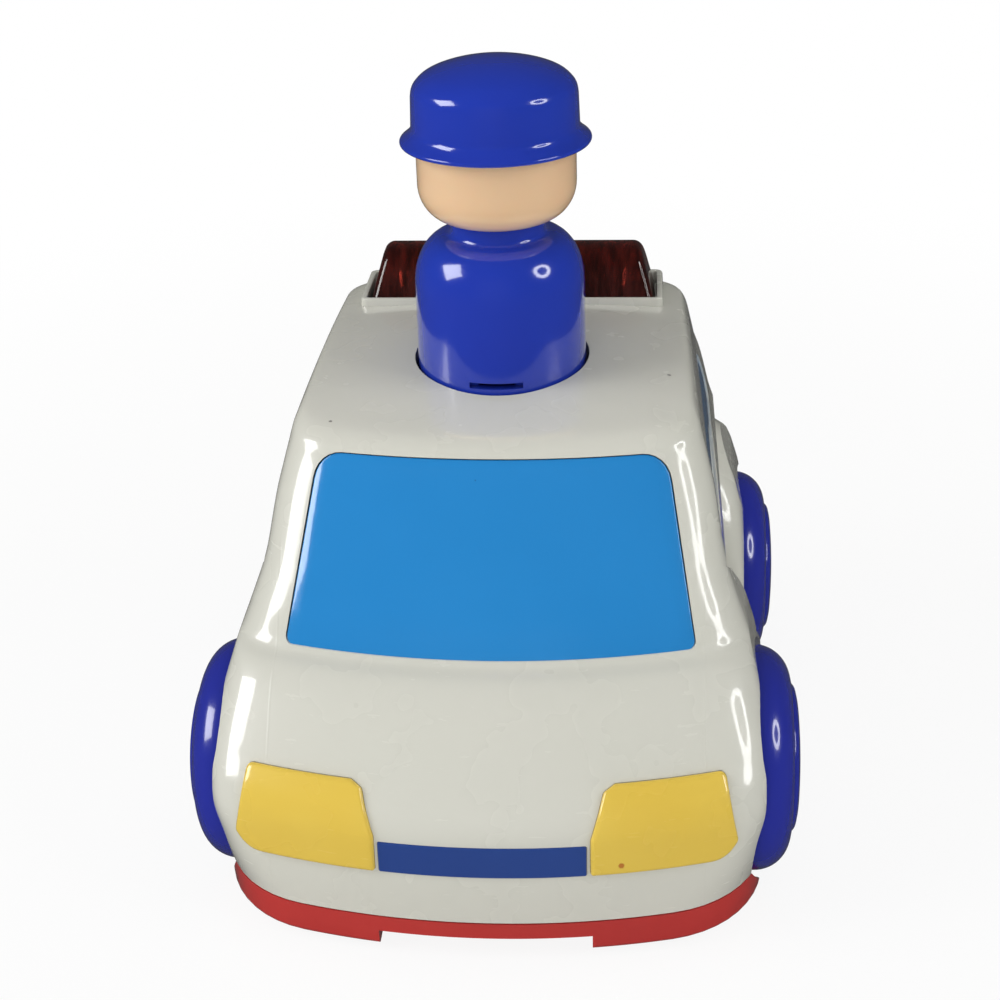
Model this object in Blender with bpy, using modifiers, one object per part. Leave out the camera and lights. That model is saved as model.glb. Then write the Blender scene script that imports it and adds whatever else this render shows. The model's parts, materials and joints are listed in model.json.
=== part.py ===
"""Press-and-go toy patrol car: a moulded shell on four wheels, driven by a rack under the figure.

Metres, +Z up, the nose towards -Y. The origin is on the floor under the middle of the car.
"""
from collections import namedtuple
from math import acos, asin, atan2, cos, pi, radians, sin, sqrt, tan

import bmesh
import bpy
from mathutils import Matrix, Vector

MM = 0.001

# Fits
SEAT_GAP = 0.3 * MM
RUN_GAP = 0.45 * MM
SMALL = 0.05 * MM
OVERRUN = 12.0 * MM
MERGE_DISTANCE = 0.01 * MM

# Overall plan of the body
BODY_HALF_LENGTH = 67.0 * MM
BODY_HALF_WIDTH = 50.4 * MM
DOOR_TUCK = 7.8 * MM
PLAN_CORNER_LOW = 13.0 * MM
PLAN_CORNER = 10.0 * MM
PLAN_CORNER_ROOF = 10.0 * MM
PLAN_CORNER_CROWN = 8.0 * MM
SEAM_TUCK = 0.4 * MM
FRONT_CROWN_RADIUS = 133.0 * MM
REAR_CROWN_RADIUS = 210.0 * MM
SEAM_Z = 8.0 * MM
WALL = 2.2 * MM

# Side profile of the body
NOSE_TOP_Z = 25.0 * MM
HOOD_EDGE_Z = 34.2 * MM
HOOD_EDGE_SETBACK = 5.2 * MM
HOOD_BULGE = 1.6 * MM
HOOD_BULGE_LEAD = 0.96 * MM
COWL_Z = 48.1 * MM
COWL_SETBACK = 21.7 * MM
SCREEN_TOP_Z = 79.3 * MM
SCREEN_TOP_LEAD = 32.9 * MM
ROOF_EDGE_Z = 81.0 * MM
ROOF_RISE = 4.6 * MM
ROOF_PEAK_SETBACK = 37.0 * MM
ROOF_RISE_SPAN = 56.0 * MM
ROOF_REAR_SETBACK = 12.5 * MM
ROOF_FRONT_STEP = 3.4 * MM
ROOF_RING_STEP = 6.0 * MM
ROOF_CROWN = 0.4 * MM

# How far each level lies in from the half width, from the fenders' shoulder to the roof
SHOULDER_TOP_BODY_Z = 60.6 * MM
FENDER_TOP_TUCK = 1.5 * MM
SHOULDER_TUCK = 4.8 * MM
CABIN_LOW_TUCK = 8.0 * MM
CABIN_TUCK = 9.7 * MM
CABIN_HIGH_TUCK = 11.3 * MM
EAVE_TUCK = 12.5 * MM
ROOF_TUCK = 14.0 * MM

# Wheels and axles
WHEEL_RADIUS = 21.0 * MM
WHEEL_WIDTH = 16.6 * MM
TYRE_PROUD = 4.4 * MM
TYRE_SHOULDER = 6.2 * MM
HUB_RADIUS = 14.1 * MM
HUB_PROUD = 2.4 * MM
HUB_EDGE = 1.6 * MM
WHEEL_CORE_RADIUS = 4.2 * MM
WHEEL_SKIN = 2.0 * MM
WHEEL_CORE_DEPTH = 6.0 * MM
HUB_FACE_WALL = 3.0 * MM
HUB_DOME = 0.9 * MM
HUB_SINK = 0.9 * MM
TYRE_FACE_ANGLE = 72.0
TYRE_BACK_EDGE = 1.2 * MM
FRONT_AXLE_SETBACK = 34.5 * MM
REAR_AXLE_SETBACK = 26.5 * MM
AXLE_RADIUS = 1.5 * MM
WELL_CLEARANCE = 1.5 * MM
WELL_SIDE_GAP = 1.6 * MM
WELL_WALL = 2.0 * MM
SADDLE_FOOT = 9.0 * MM
SADDLE_HEAD = 4.5 * MM

# Fenders over the wheels
FENDER_PROUD = 0.2 * MM
FENDER_FACE_TUCK = 1.3 * MM
FENDER_HALF_LENGTH = 24.8 * MM
FRONT_FENDER_RISE = 38.5 * MM
REAR_FENDER_RISE = 32.0 * MM
FENDER_EDGE_DROP = 13.5 * MM
FENDER_EDGE_DRAW = 3.0 * MM
FENDER_ROOT_TUCK = 16.4 * MM

# Base pan
BASE_BOTTOM_Z = 1.4 * MM
BASE_EDGE = 1.4 * MM
NOTCH_HALF_WIDTH = 19.1 * MM
NOTCH_HEIGHT = 3.4 * MM
NOTCH_DEPTH = 7.0 * MM

# Windows
PANE_RECESS = 0.6 * MM
PANE_FLANGE = 1.6 * MM
PANE_FLANGE_THICKNESS = 0.9 * MM
SCREEN_BOTTOM_TUCK = 13.2 * MM
SCREEN_TOP_TUCK = 18.6 * MM
SCREEN_CORNER = 5.5 * MM
SCREEN_LOW_CORNER = 1.2 * MM
SCREEN_TOP_MARGIN = 0.4 * MM
SCREEN_BOTTOM_MARGIN = 0.6 * MM
REAR_PANE_BOTTOM_Z = 56.0 * MM
REAR_PANE_TOP_Z = 77.0 * MM
REAR_PANE_BOTTOM_TUCK = 20.4 * MM
REAR_PANE_TOP_TUCK = 24.4 * MM
PANE_LOW_ROUND = 2.5 * MM
PANE_HIGH_ROUND = 4.5 * MM
SIDE_PANE_BOTTOM_Z = 63.5 * MM
SIDE_PANE_TOP_Z = 75.0 * MM
SIDE_PANE_LOW_LEAD = 27.8 * MM
SIDE_PANE_HIGH_LEAD = 20.8 * MM
SIDE_PANE_LOW_SETBACK = 27.0 * MM
SIDE_PANE_HIGH_SETBACK = 31.0 * MM

# Lamps and strip on the nose
LAMP_PROUD = 0.9 * MM
LAMP_DEPTH = 0.8 * MM
LAMP_INNER_X = 18.75 * MM
LAMP_INNER_TOP_X = 20.9 * MM
LAMP_CUT_X = 22.9 * MM
LAMP_OUTER_TOP_TUCK = 8.3 * MM
LAMP_OUTER_TUCK = 6.0 * MM
LAMP_BOTTOM_Z = 18.9 * MM
LAMP_STEP_Z = 26.0 * MM
LAMP_INNER_TOP_Z = 33.1 * MM
LAMP_TOP_Z = 34.2 * MM
LAMP_OUTER_LOW_Z = 22.7 * MM
LAMP_LOW_ROUND = 5.0 * MM
LAMP_ROUND = 1.5 * MM
LAMP_CUT_ROUND = 0.8 * MM
LAMP_FOOT_ROUND = 0.5 * MM
STRIP_TOP_Z = 25.0 * MM
STRIP_BOTTOM_Z = 18.7 * MM
STRIP_ROUND = 0.4 * MM
STRIP_SIDE_GAP = 0.5 * MM
STRIP_PROUD = 0.25 * MM

# Light bar on the roof
BAR_SETBACK = 17.8 * MM
BAR_DEPTH = 14.6 * MM
BAR_TOP_Z = 94.4 * MM
BAR_FOLD_Z = 91.8 * MM
BAR_END_MARGIN = 6.8 * MM
BAR_END_SLOPE = 3.0 * MM
BAR_FRONT_SLOPE = 3.6 * MM
BAR_WALL = 1.5 * MM
BAR_RIB_PITCH = 2.9 * MM
BAR_RIB_DEPTH = 0.9 * MM
BAR_ROUND = 4.5 * MM
BAR_ROUND_START = 30.0
BAR_FOLD_DEPTH = 2.6 * MM
BAR_END_EDGE = 1.2 * MM
RIM_WIDTH = 1.3 * MM
RIM_HEIGHT = 1.5 * MM
RIM_ROUND = 0.6 * MM
BAR_SEAT_SINK = 1.1 * MM

# Figure
FIGURE_LEAD = 31.7 * MM
TORSO_RADIUS = 16.4 * MM
TORSO_SHOULDER_RADIUS = 16.15 * MM
TORSO_WALL = 2.0 * MM
TORSO_BOTTOM_Z = 58.0 * MM
SHOULDER_Z = 102.6 * MM
SHOULDER_TOP_Z = 110.1 * MM
SHOULDER_TOP_RADIUS = 12.2 * MM
NECK_RADIUS = 8.9 * MM
NECK_Z = 113.0 * MM
COLLAR_CURVE = 0.7 * MM
COLLAR_DROP = 1.0 * MM
TORSO_HOLE_GAP = 0.5 * MM
FLANGE_WIDTH = 1.7 * MM
FLANGE_HEIGHT = 2.0 * MM
COLLAR_WALL = 1.9 * MM
SLOT_HALF_WIDTH = 5.0 * MM
SLOT_TOP_Z = 86.4 * MM
SLOT_BOTTOM_Z = 83.0 * MM
PRESS_TRAVEL = 17.0 * MM
HEAD_RADIUS = 14.8 * MM
HEAD_BOTTOM_Z = 113.3 * MM
CHIN_RADIUS = 8.8 * MM
HEAD_ROUND_Z = 120.0 * MM
HEAD_TOP_Z = 130.2 * MM
HEAD_WALL = 2.0 * MM
SPIGOT_RADIUS = 5.6 * MM
SPIGOT_LENGTH = 7.0 * MM
CAP_BRIM_RADIUS = 17.8 * MM
CAP_BRIM_Z = 127.3 * MM
CAP_JOIN_RADIUS = 15.9 * MM
CAP_JOIN_Z = 131.0 * MM
CAP_CROWN_RADIUS = 15.3 * MM
CAP_EDGE_Z = 137.2 * MM
CAP_EDGE_ROUND = 2.2 * MM
CAP_EDGE_START = 55.0
CAP_TOP_Z = 142.8 * MM
CAP_DOME = 5.2 * MM
CAP_BRIM_EDGE = 0.5 * MM
CAP_WALL = 1.6 * MM
CAP_PLUG_LENGTH = 4.0 * MM

# Drive: rack, winding gear, clutch gear and axle gear
MODULE = 1.0 * MM
ADDENDUM = 0.8 * MODULE
DEDENDUM = 1.1 * MODULE
BACKLASH = 0.3 * MM
PRESSURE_ANGLE = radians(20.0)
PINION_TEETH = 10
WINDING_TEETH = 20
CLUTCH_TEETH = 16
AXLE_GEAR_TEETH = 12
GEAR_WIDTH = 3.0 * MM
GEAR_SIDE_GAP = 1.0 * MM
STUB_RADIUS = 1.5 * MM
WINDING_Z = 28.0 * MM
CLUTCH_OPEN_GAP = 0.4 * MM
RACK_OFFSET = 5.2 * MM
RACK_WIDTH = 5.0 * MM
RACK_BACK = 5.0 * MM
RACK_BOTTOM_Z = 24.5 * MM
RACK_TEETH = 8
PLATE_THICKNESS = 1.8 * MM
PLATE_MARGIN = 4.2 * MM
PLATE_ROUND = 2.4 * MM
SPACER_RADIUS = 2.4 * MM
SPACER_BORE_DEPTH = 8.0 * MM
SMALL_SCREW = 0.8
SMALL_SCREW_LENGTH = 7.0 * MM
BEARING_GAP = 0.08 * MM
DISC_THICKNESS = 2.4 * MM

# Return spring
SPRING_LEAD = 8.6 * MM
SPRING_RADIUS = 4.0 * MM
SPRING_WIRE = 0.5 * MM
SPRING_TURNS = 8
SPRING_POINTS_PER_TURN = 8
SPRING_SEAT_Z = 7.4 * MM
SPRING_POST_LENGTH = 9.0 * MM
PLUNGER_PIN_LENGTH = 5.0 * MM

# Screws
SCREW_HEAD_RADIUS = 2.7 * MM
SCREW_HEAD_HEIGHT = 1.6 * MM
SCREW_SHANK_RADIUS = 1.3 * MM
SCREW_LENGTH = 11.0 * MM
SCREW_X = 24.0 * MM
POST_RADIUS = 3.4 * MM
POST_TOP_Z = 30.0 * MM
POST_WALL_INSET = 6.4 * MM
BOSS_RADIUS = 4.4 * MM

# Places and half widths that follow from the sizes above
FRONT_AXLE_Y = FRONT_AXLE_SETBACK - BODY_HALF_LENGTH
REAR_AXLE_Y = BODY_HALF_LENGTH - REAR_AXLE_SETBACK
FIGURE_Y = REAR_AXLE_Y - FIGURE_LEAD
RACK_PITCH_Y = FIGURE_Y + RACK_OFFSET
SPRING_Y = FIGURE_Y - SPRING_LEAD
SCREEN_TOP_SETBACK = BODY_HALF_LENGTH + FIGURE_Y - SCREEN_TOP_LEAD
ROOF_PEAK_Y = BODY_HALF_LENGTH - ROOF_PEAK_SETBACK
BAR_REAR_Y = BODY_HALF_LENGTH - BAR_SETBACK
BAR_FRONT_Y = BAR_REAR_Y - BAR_DEPTH
SIDE_PANE_FRONT_LOW_Y = FIGURE_Y - SIDE_PANE_LOW_LEAD
SIDE_PANE_FRONT_HIGH_Y = FIGURE_Y - SIDE_PANE_HIGH_LEAD
SIDE_PANE_REAR_LOW_Y = BODY_HALF_LENGTH - SIDE_PANE_LOW_SETBACK
SIDE_PANE_REAR_HIGH_Y = BODY_HALF_LENGTH - SIDE_PANE_HIGH_SETBACK
DOOR_HALF_WIDTH = BODY_HALF_WIDTH - DOOR_TUCK
FENDER_TOP_HALF = BODY_HALF_WIDTH - FENDER_TOP_TUCK
SHOULDER_HALF = BODY_HALF_WIDTH - SHOULDER_TUCK
CABIN_LOW_HALF = BODY_HALF_WIDTH - CABIN_LOW_TUCK
CABIN_HALF = BODY_HALF_WIDTH - CABIN_TUCK
CABIN_HIGH_HALF = BODY_HALF_WIDTH - CABIN_HIGH_TUCK
EAVE_HALF = BODY_HALF_WIDTH - EAVE_TUCK
ROOF_HALF_WIDTH = BODY_HALF_WIDTH - ROOF_TUCK
TYRE_OUTER_X = BODY_HALF_WIDTH + TYRE_PROUD
HUB_OUTER_X = TYRE_OUTER_X + HUB_PROUD
FENDER_OUTER_X = BODY_HALF_WIDTH + FENDER_PROUD
FENDER_FACE_X = BODY_HALF_WIDTH - FENDER_FACE_TUCK
FENDER_ROOT_X = BODY_HALF_WIDTH - FENDER_ROOT_TUCK
SCREEN_BOTTOM_HALF = BODY_HALF_WIDTH - SCREEN_BOTTOM_TUCK
SCREEN_TOP_HALF = BODY_HALF_WIDTH - SCREEN_TOP_TUCK
REAR_PANE_BOTTOM_HALF = BODY_HALF_WIDTH - REAR_PANE_BOTTOM_TUCK
REAR_PANE_TOP_HALF = BODY_HALF_WIDTH - REAR_PANE_TOP_TUCK
LAMP_OUTER_TOP_X = BODY_HALF_WIDTH - LAMP_OUTER_TOP_TUCK
LAMP_OUTER_X = BODY_HALF_WIDTH - LAMP_OUTER_TUCK
BAR_HALF_LENGTH = ROOF_HALF_WIDTH - BAR_END_MARGIN

# Facets
WHEEL_SEGMENTS = 24
FIGURE_SEGMENTS = 24
WELL_SEGMENTS = 32
SMALL_SEGMENTS = 10

Finish = namedtuple("Finish", "color roughness metallic")
FINISHES = {
    "white_plastic": Finish((0.66, 0.66, 0.56), 0.28, 0.0),
    "red_plastic": Finish((0.58, 0.035, 0.028), 0.34, 0.0),
    "sky_blue_plastic": Finish((0.018, 0.24, 0.62), 0.22, 0.0),
    "deep_blue_plastic": Finish((0.012, 0.045, 0.45), 0.22, 0.0),
    "wheel_blue_plastic": Finish((0.018, 0.026, 0.34), 0.25, 0.0),
    "navy_plastic": Finish((0.015, 0.05, 0.26), 0.3, 0.0),
    "yellow_plastic": Finish((0.82, 0.56, 0.06), 0.28, 0.0),
    "skin_plastic": Finish((0.86, 0.57, 0.31), 0.35, 0.0),
    "smoked_red_plastic": Finish((0.1, 0.012, 0.006), 0.12, 0.0),
    "grey_gear_plastic": Finish((0.7, 0.7, 0.67), 0.4, 0.0),
    "black_gearbox_plastic": Finish((0.03, 0.03, 0.032), 0.4, 0.0),
    "steel": Finish((0.55, 0.55, 0.56), 0.28, 1.0),
}

Station = namedtuple("Station", "z front rear half corner lift")
Facets = namedtuple("Facets", "edge corner side fender")
OUTER_FACETS = Facets(3, 3, 3, 14)
INNER_FACETS = Facets(3, 3, 3, 8)


def clear_scene():
    for item in list(bpy.data.objects):
        bpy.data.objects.remove(item, do_unlink=True)
    for collection in list(bpy.data.collections):
        bpy.data.collections.remove(collection)


def make_collection(name):
    collection = bpy.data.collections.new(name)
    bpy.context.scene.collection.children.link(collection)
    return collection


def material(name):
    found = bpy.data.materials.get(name)
    if found:
        return found
    finish = FINISHES[name]
    made = bpy.data.materials.new(name)
    made.use_nodes = True
    shader = made.node_tree.nodes["Principled BSDF"]
    shader.inputs["Base Color"].default_value = (*finish.color, 1.0)
    shader.inputs["Roughness"].default_value = finish.roughness
    shader.inputs["Metallic"].default_value = finish.metallic
    made.diffuse_color = (*finish.color, 1.0)
    return made


def mesh_object(name, mesh, collection, finish=None, smooth=True):
    item = bpy.data.objects.new(name, mesh)
    collection.objects.link(item)
    if finish:
        mesh.materials.append(material(finish))
    if smooth:
        mesh.shade_smooth()
        mesh.set_sharp_from_angle(angle=radians(35.0))
    return item


def from_bmesh(name, shape, collection, finish=None, smooth=True):
    mesh = bpy.data.meshes.new(name)
    bmesh.ops.recalc_face_normals(shape, faces=shape.faces)
    shape.to_mesh(mesh)
    shape.free()
    return mesh_object(name, mesh, collection, finish, smooth)


def cutter(item):
    item.hide_render = True
    item.display_type = "WIRE"
    return item


def boolean(item, other, operation="DIFFERENCE"):
    modifier = item.modifiers.new(operation.title() + " " + other.name, "BOOLEAN")
    modifier.operation = operation
    modifier.object = other
    modifier.solver = "EXACT"
    return item


def evaluated_mesh(item):
    graph = bpy.context.evaluated_depsgraph_get()
    return bpy.data.meshes.new_from_object(item.evaluated_get(graph), depsgraph=graph)


def outline_solid(name, outlines, low, high, collection, turn=None, finish=None):
    """A flat outline given thickness between two heights, then turned into place."""
    curve = bpy.data.curves.new(name + "_outline", "CURVE")
    curve.dimensions = "2D"
    curve.fill_mode = "BOTH"
    curve.extrude = (high - low) / 2.0
    for points in outlines:
        spline = curve.splines.new("POLY")
        spline.points.add(len(points) - 1)
        for slot, (across, along) in zip(spline.points, points):
            slot.co = (across, along, 0.0, 1.0)
        spline.use_cyclic_u = True
    holder = bpy.data.objects.new(name + "_outline", curve)
    collection.objects.link(holder)
    mesh = evaluated_mesh(holder)
    bpy.data.objects.remove(holder, do_unlink=True)
    shape = bmesh.new()
    shape.from_mesh(mesh)
    bpy.data.meshes.remove(mesh)
    bmesh.ops.remove_doubles(shape, verts=shape.verts, dist=MERGE_DISTANCE)
    bmesh.ops.translate(shape, verts=shape.verts, vec=(0.0, 0.0, (low + high) / 2.0))
    if turn:
        bmesh.ops.transform(shape, matrix=turn, verts=shape.verts)
    return from_bmesh(name, shape, collection, finish, smooth=bool(finish))


# The outline's own axes (across, along, height) laid on the world's (Y, Z, X) and (X, Z, -Y).
ALONG_X = Matrix(((0, 0, 1, 0), (1, 0, 0, 0), (0, 1, 0, 0), (0, 0, 0, 1)))
ALONG_Y = Matrix(((1, 0, 0, 0), (0, 0, -1, 0), (0, 1, 0, 0), (0, 0, 0, 1)))


def box(name, low, high, collection):
    shape = bmesh.new()
    bmesh.ops.create_cube(shape, size=1.0)
    size = Vector(high) - Vector(low)
    bmesh.ops.scale(shape, vec=size, verts=shape.verts)
    bmesh.ops.translate(shape, verts=shape.verts, vec=(Vector(high) + Vector(low)) / 2.0)
    return from_bmesh(name, shape, collection, smooth=False)


def rod(name, start, end, radius, collection, finish=None, segments=SMALL_SEGMENTS):
    """A round bar between two points."""
    run = Vector(end) - Vector(start)
    shape = bmesh.new()
    bmesh.ops.create_cone(shape, cap_ends=True, segments=segments,
                          radius1=radius, radius2=radius, depth=run.length)
    turn = Vector((0, 0, 1)).rotation_difference(run).to_matrix().to_4x4()
    move = Matrix.Translation((Vector(start) + Vector(end)) / 2.0)
    bmesh.ops.transform(shape, matrix=move @ turn, verts=shape.verts)
    return from_bmesh(name, shape, collection, finish, smooth=bool(finish))


def turned(name, profile, collection, finish=None, segments=FIGURE_SEGMENTS):
    """A closed profile of (radius, height) points, outer side first and downwards, spun round Z."""
    mesh = bpy.data.meshes.new(name)
    points = [(radius, 0.0, height) for radius, height in profile]
    edges = [(i, i + 1) for i in range(len(points) - 1)]
    if profile[0][0] > SMALL or profile[-1][0] > SMALL:
        edges.append((len(points) - 1, 0))
    mesh.from_pydata(points, edges, [])
    item = bpy.data.objects.new(name, mesh)
    collection.objects.link(item)
    screw = item.modifiers.new("Turn", "SCREW")
    screw.axis = "Z"
    screw.angle = 2.0 * pi
    screw.steps = segments
    screw.render_steps = segments
    screw.use_merge_vertices = True
    screw.merge_threshold = MERGE_DISTANCE
    made = evaluated_mesh(item)
    bpy.data.objects.remove(item, do_unlink=True)
    shape = bmesh.new()
    shape.from_mesh(made)
    bpy.data.meshes.remove(made)
    bmesh.ops.remove_doubles(shape, verts=shape.verts, dist=MERGE_DISTANCE)
    return from_bmesh(name, shape, collection, finish)


def arc(center, radius, start, end, steps):
    """Points of a round stretch; angles in degrees, both ends included."""
    points = []
    for step in range(steps + 1):
        angle = radians(start + (end - start) * step / steps)
        points.append((center[0] + radius * cos(angle), center[1] + radius * sin(angle)))
    return points


def rounded_outline(corners, steps=3):
    """A polygon given as (across, along, corner radius), its corners replaced by arcs."""
    points = []
    count = len(corners)
    for i, (x, y, radius) in enumerate(corners):
        here = Vector((x, y))
        before = (Vector(corners[i - 1][:2]) - here).normalized()
        after = (Vector(corners[(i + 1) % count][:2]) - here).normalized()
        half = acos(max(-1.0, min(1.0, before.dot(after)))) / 2.0
        if radius < SMALL:
            points.append((x, y))
            continue
        reach = radius / tan(half)
        center = here + (before + after).normalized() * (radius / sin(half))
        first = here + before * reach - center
        last = here + after * reach - center
        start = atan2(first.y, first.x)
        sweep = (atan2(last.y, last.x) - start + pi) % (2.0 * pi) - pi
        for step in range(steps + 1):
            angle = start + sweep * step / steps
            points.append((center.x + radius * cos(angle), center.y + radius * sin(angle)))
    return points


# Body skin

def between(low, high, share):
    return low + (high - low) * share


def body_stations():
    """The rings of the body, from the seam to the middle of the roof."""
    half = BODY_HALF_WIDTH
    length = BODY_HALF_LENGTH
    rear = ROOF_REAR_SETBACK
    roof = ROOF_HALF_WIDTH
    seam = SEAM_Z + SEAT_GAP
    shoulder_low = between(COWL_Z, SHOULDER_TOP_BODY_Z, 0.42)
    shoulder_mid = between(COWL_Z, SHOULDER_TOP_BODY_Z, 0.76)

    def hood_at(share):
        return -length + between(HOOD_EDGE_SETBACK, COWL_SETBACK, share)

    def hood_ring(share, swell, setback, width):
        """A ring over the hood, swollen from the straight line between its edge and the cowl."""
        z = between(HOOD_EDGE_Z, COWL_Z, share) + swell * HOOD_BULGE
        half_width = between(half, FENDER_TOP_HALF, width)
        return ring(z, hood_at(share) - swell * HOOD_BULGE_LEAD, setback * rear, half_width, mid)

    def screen_at(z):
        share = (z - COWL_Z) / (SCREEN_TOP_Z - COWL_Z)
        return -length + between(COWL_SETBACK, SCREEN_TOP_SETBACK, share)

    def cabin_z(share):
        return between(SHOULDER_TOP_BODY_Z, SCREEN_TOP_Z, share)

    def ring(z, front, setback, half_width, corner, lift=0.0):
        return Station(z, front, length - setback, half_width, corner, lift)

    def roof_ring(number, setback, width):
        front = screen_at(SCREEN_TOP_Z) + ROOF_FRONT_STEP + number * ROOF_RING_STEP
        corner = between(PLAN_CORNER_ROOF, PLAN_CORNER_CROWN, min(1.0, number / 2.0))
        z = ROOF_EDGE_Z + ROOF_CROWN * (number - 1.0)
        return ring(z, front, setback * rear, width * roof, corner * min(1.0, 2.0 * width), 1.0)

    low = PLAN_CORNER_LOW
    mid = PLAN_CORNER
    high = PLAN_CORNER_ROOF
    return [
        ring(seam, SEAM_TUCK - length, SEAM_TUCK, half - SEAM_TUCK, low),
        ring(between(seam, NOSE_TOP_Z, 0.5), -length, 0.0, half, between(mid, low, 0.3)),
        ring(NOSE_TOP_Z, -length + SEAM_TUCK / 2.0, 0.0, half, mid),
        ring(between(NOSE_TOP_Z, HOOD_EDGE_Z, 0.5), -length + 0.3 * HOOD_EDGE_SETBACK, SEAM_TUCK / 4.0,
             half, mid),
        ring(HOOD_EDGE_Z, hood_at(0.0), SEAM_TUCK, half - SEAM_TUCK / 4.0, mid),
        hood_ring(0.33, 0.7, 0.06, 0.25),
        hood_ring(0.62, 1.0, 0.12, 0.5),
        hood_ring(0.84, 0.7, 0.16, 0.8),
        ring(COWL_Z, hood_at(1.0), 0.2 * rear, FENDER_TOP_HALF, mid),
        ring(shoulder_low, screen_at(shoulder_low), 0.27 * rear,
             between(FENDER_TOP_HALF, SHOULDER_HALF, 0.4), mid, 0.03),
        ring(shoulder_mid, screen_at(shoulder_mid), 0.34 * rear, SHOULDER_HALF, mid, 0.06),
        ring(SHOULDER_TOP_BODY_Z, screen_at(SHOULDER_TOP_BODY_Z), 0.4 * rear, CABIN_LOW_HALF, mid, 0.1),
        ring(cabin_z(0.5), screen_at(cabin_z(0.5)), 0.58 * rear, CABIN_HALF, mid, 0.3),
        ring(cabin_z(0.82), screen_at(cabin_z(0.82)), 0.78 * rear, CABIN_HIGH_HALF,
             between(high, mid, 0.5), 0.6),
        ring(SCREEN_TOP_Z, screen_at(SCREEN_TOP_Z), 0.9 * rear, EAVE_HALF, high, 0.85),
        roof_ring(0.0, 1.0, 1.0),
        roof_ring(1.0, 1.22, 0.84),
        roof_ring(2.0, 1.5, 0.56),
        roof_ring(3.0, 1.8, 0.25),
    ]


def roof_lift(y):
    share = (ROOF_PEAK_Y - y) / ROOF_RISE_SPAN
    return ROOF_RISE * (1.0 - share * share)


def half_edge(edge, half, corner, crown_radius, steps, corner_steps):
    """One end of a ring from its middle to the side: a crowned edge and a round corner."""
    straight = (half - corner) / (1.0 - corner / crown_radius)
    slope = straight / crown_radius
    points = []
    for step in range(steps + 1):
        x = straight * step / steps
        points.append((x, edge + x * x / (2.0 * crown_radius)))
    center = (straight - corner * sin(slope), points[-1][1] + corner * cos(slope))
    for step in range(1, corner_steps + 1):
        angle = slope + (pi / 2.0 - slope) * step / corner_steps
        points.append((center[0] + corner * sin(angle), center[1] - corner * cos(angle)))
    return points


def ring_points(station, facets=OUTER_FACETS):
    """The whole ring of a station, starting at the nose and running round by +X."""
    front = half_edge(station.front, station.half, station.corner, FRONT_CROWN_RADIUS,
                      facets.edge, facets.corner)
    back = half_edge(-station.rear, station.half, station.corner, REAR_CROWN_RADIUS,
                     facets.edge, facets.corner)
    back = [(x, -y) for x, y in reversed(back)]
    sides = facets.side
    side = [(station.half, front[-1][1] + (back[0][1] - front[-1][1]) * i / sides)
            for i in range(1, sides)]
    right = front + side + back
    left = [(-x, y) for x, y in reversed(right[1:-1])]
    return [Vector((x, y, station.z + station.lift * roof_lift(y))) for x, y in right + left]


def body_solid(name, inset, collection, bottom=None, facets=OUTER_FACETS):
    """The body's outer form as one closed solid, moved inwards along its own normals."""
    shape = bmesh.new()
    rings = [[shape.verts.new(point) for point in ring_points(station, facets)]
             for station in body_stations()]
    count = len(rings[0])
    for low, high in zip(rings, rings[1:]):
        for i in range(count):
            j = (i + 1) % count
            shape.faces.new((low[i], low[j], high[j], high[i]))
    top = rings[-1]
    for i in range(count // 2):
        corners = [top[i], top[i + 1], top[(count - i - 1) % count], top[(count - i) % count]]
        unique = [v for k, v in enumerate(corners) if v not in corners[:k]]
        if len(unique) > 2:
            shape.faces.new(unique)
    bmesh.ops.recalc_face_normals(shape, faces=shape.faces)
    shape.normal_update()
    if top[0].normal.z < 0.0:
        bmesh.ops.reverse_faces(shape, faces=shape.faces)
        shape.normal_update()
    moves = [(v, v.normal * inset * v.calc_shell_factor()) for v in shape.verts]
    for vert, move in moves:
        vert.co -= move
    for vert in rings[0]:
        vert.co.z = body_stations()[0].z
    last = rings[0]
    if bottom is not None:
        last = [shape.verts.new((v.co.x, v.co.y, bottom)) for v in rings[0]]
        for i in range(count):
            j = (i + 1) % count
            shape.faces.new((last[i], last[j], rings[0][j], rings[0][i]))
    shape.faces.new(last)
    return from_bmesh(name, shape, collection)


def fender_outline(axle_y, length, rise, low, steps):
    """An oval over the wheel, with straight legs below the seam down to the low height."""
    start = asin((SEAM_Z - WHEEL_RADIUS) / rise)
    angles = [start + (pi - 2.0 * start) * i / steps for i in range(steps + 1)]
    points = [(axle_y + length * cos(angle), WHEEL_RADIUS + rise * sin(angle)) for angle in angles]
    return [(points[0][0], low)] + points + [(points[-1][0], low)]


def fender_solid(name, axle_y, rise, side, inset, collection, low, facets=OUTER_FACETS):
    """A fender: an oval round the wheel well, its outer edge rounded off by an ellipse."""
    root = FENDER_ROOT_X - inset
    edge_start = DOOR_HALF_WIDTH - inset
    face = FENDER_FACE_X - inset
    sections = [(root, 0.0)]
    for step in range(facets.corner + 2):
        angle = acos(1.0 - step / (facets.corner + 1))
        sections.append((between(edge_start, face, sin(angle)), 1.0 - cos(angle)))
    sections.append((FENDER_OUTER_X + OVERRUN * 2.0, 1.0))
    shape = bmesh.new()
    rings = []
    for x, share in sections:
        outline = fender_outline(axle_y, FENDER_HALF_LENGTH - inset - share * FENDER_EDGE_DRAW,
                                 rise - inset - share * FENDER_EDGE_DROP, low, facets.fender)
        rings.append([shape.verts.new((side * x, y, z)) for y, z in outline])
    count = len(rings[0])
    for near, far in zip(rings, rings[1:]):
        for i in range(count):
            j = (i + 1) % count
            shape.faces.new((near[i], near[j], far[j], far[i]))
    shape.faces.new(rings[0])
    shape.faces.new(rings[-1])
    return from_bmesh(name, shape, collection)


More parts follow.
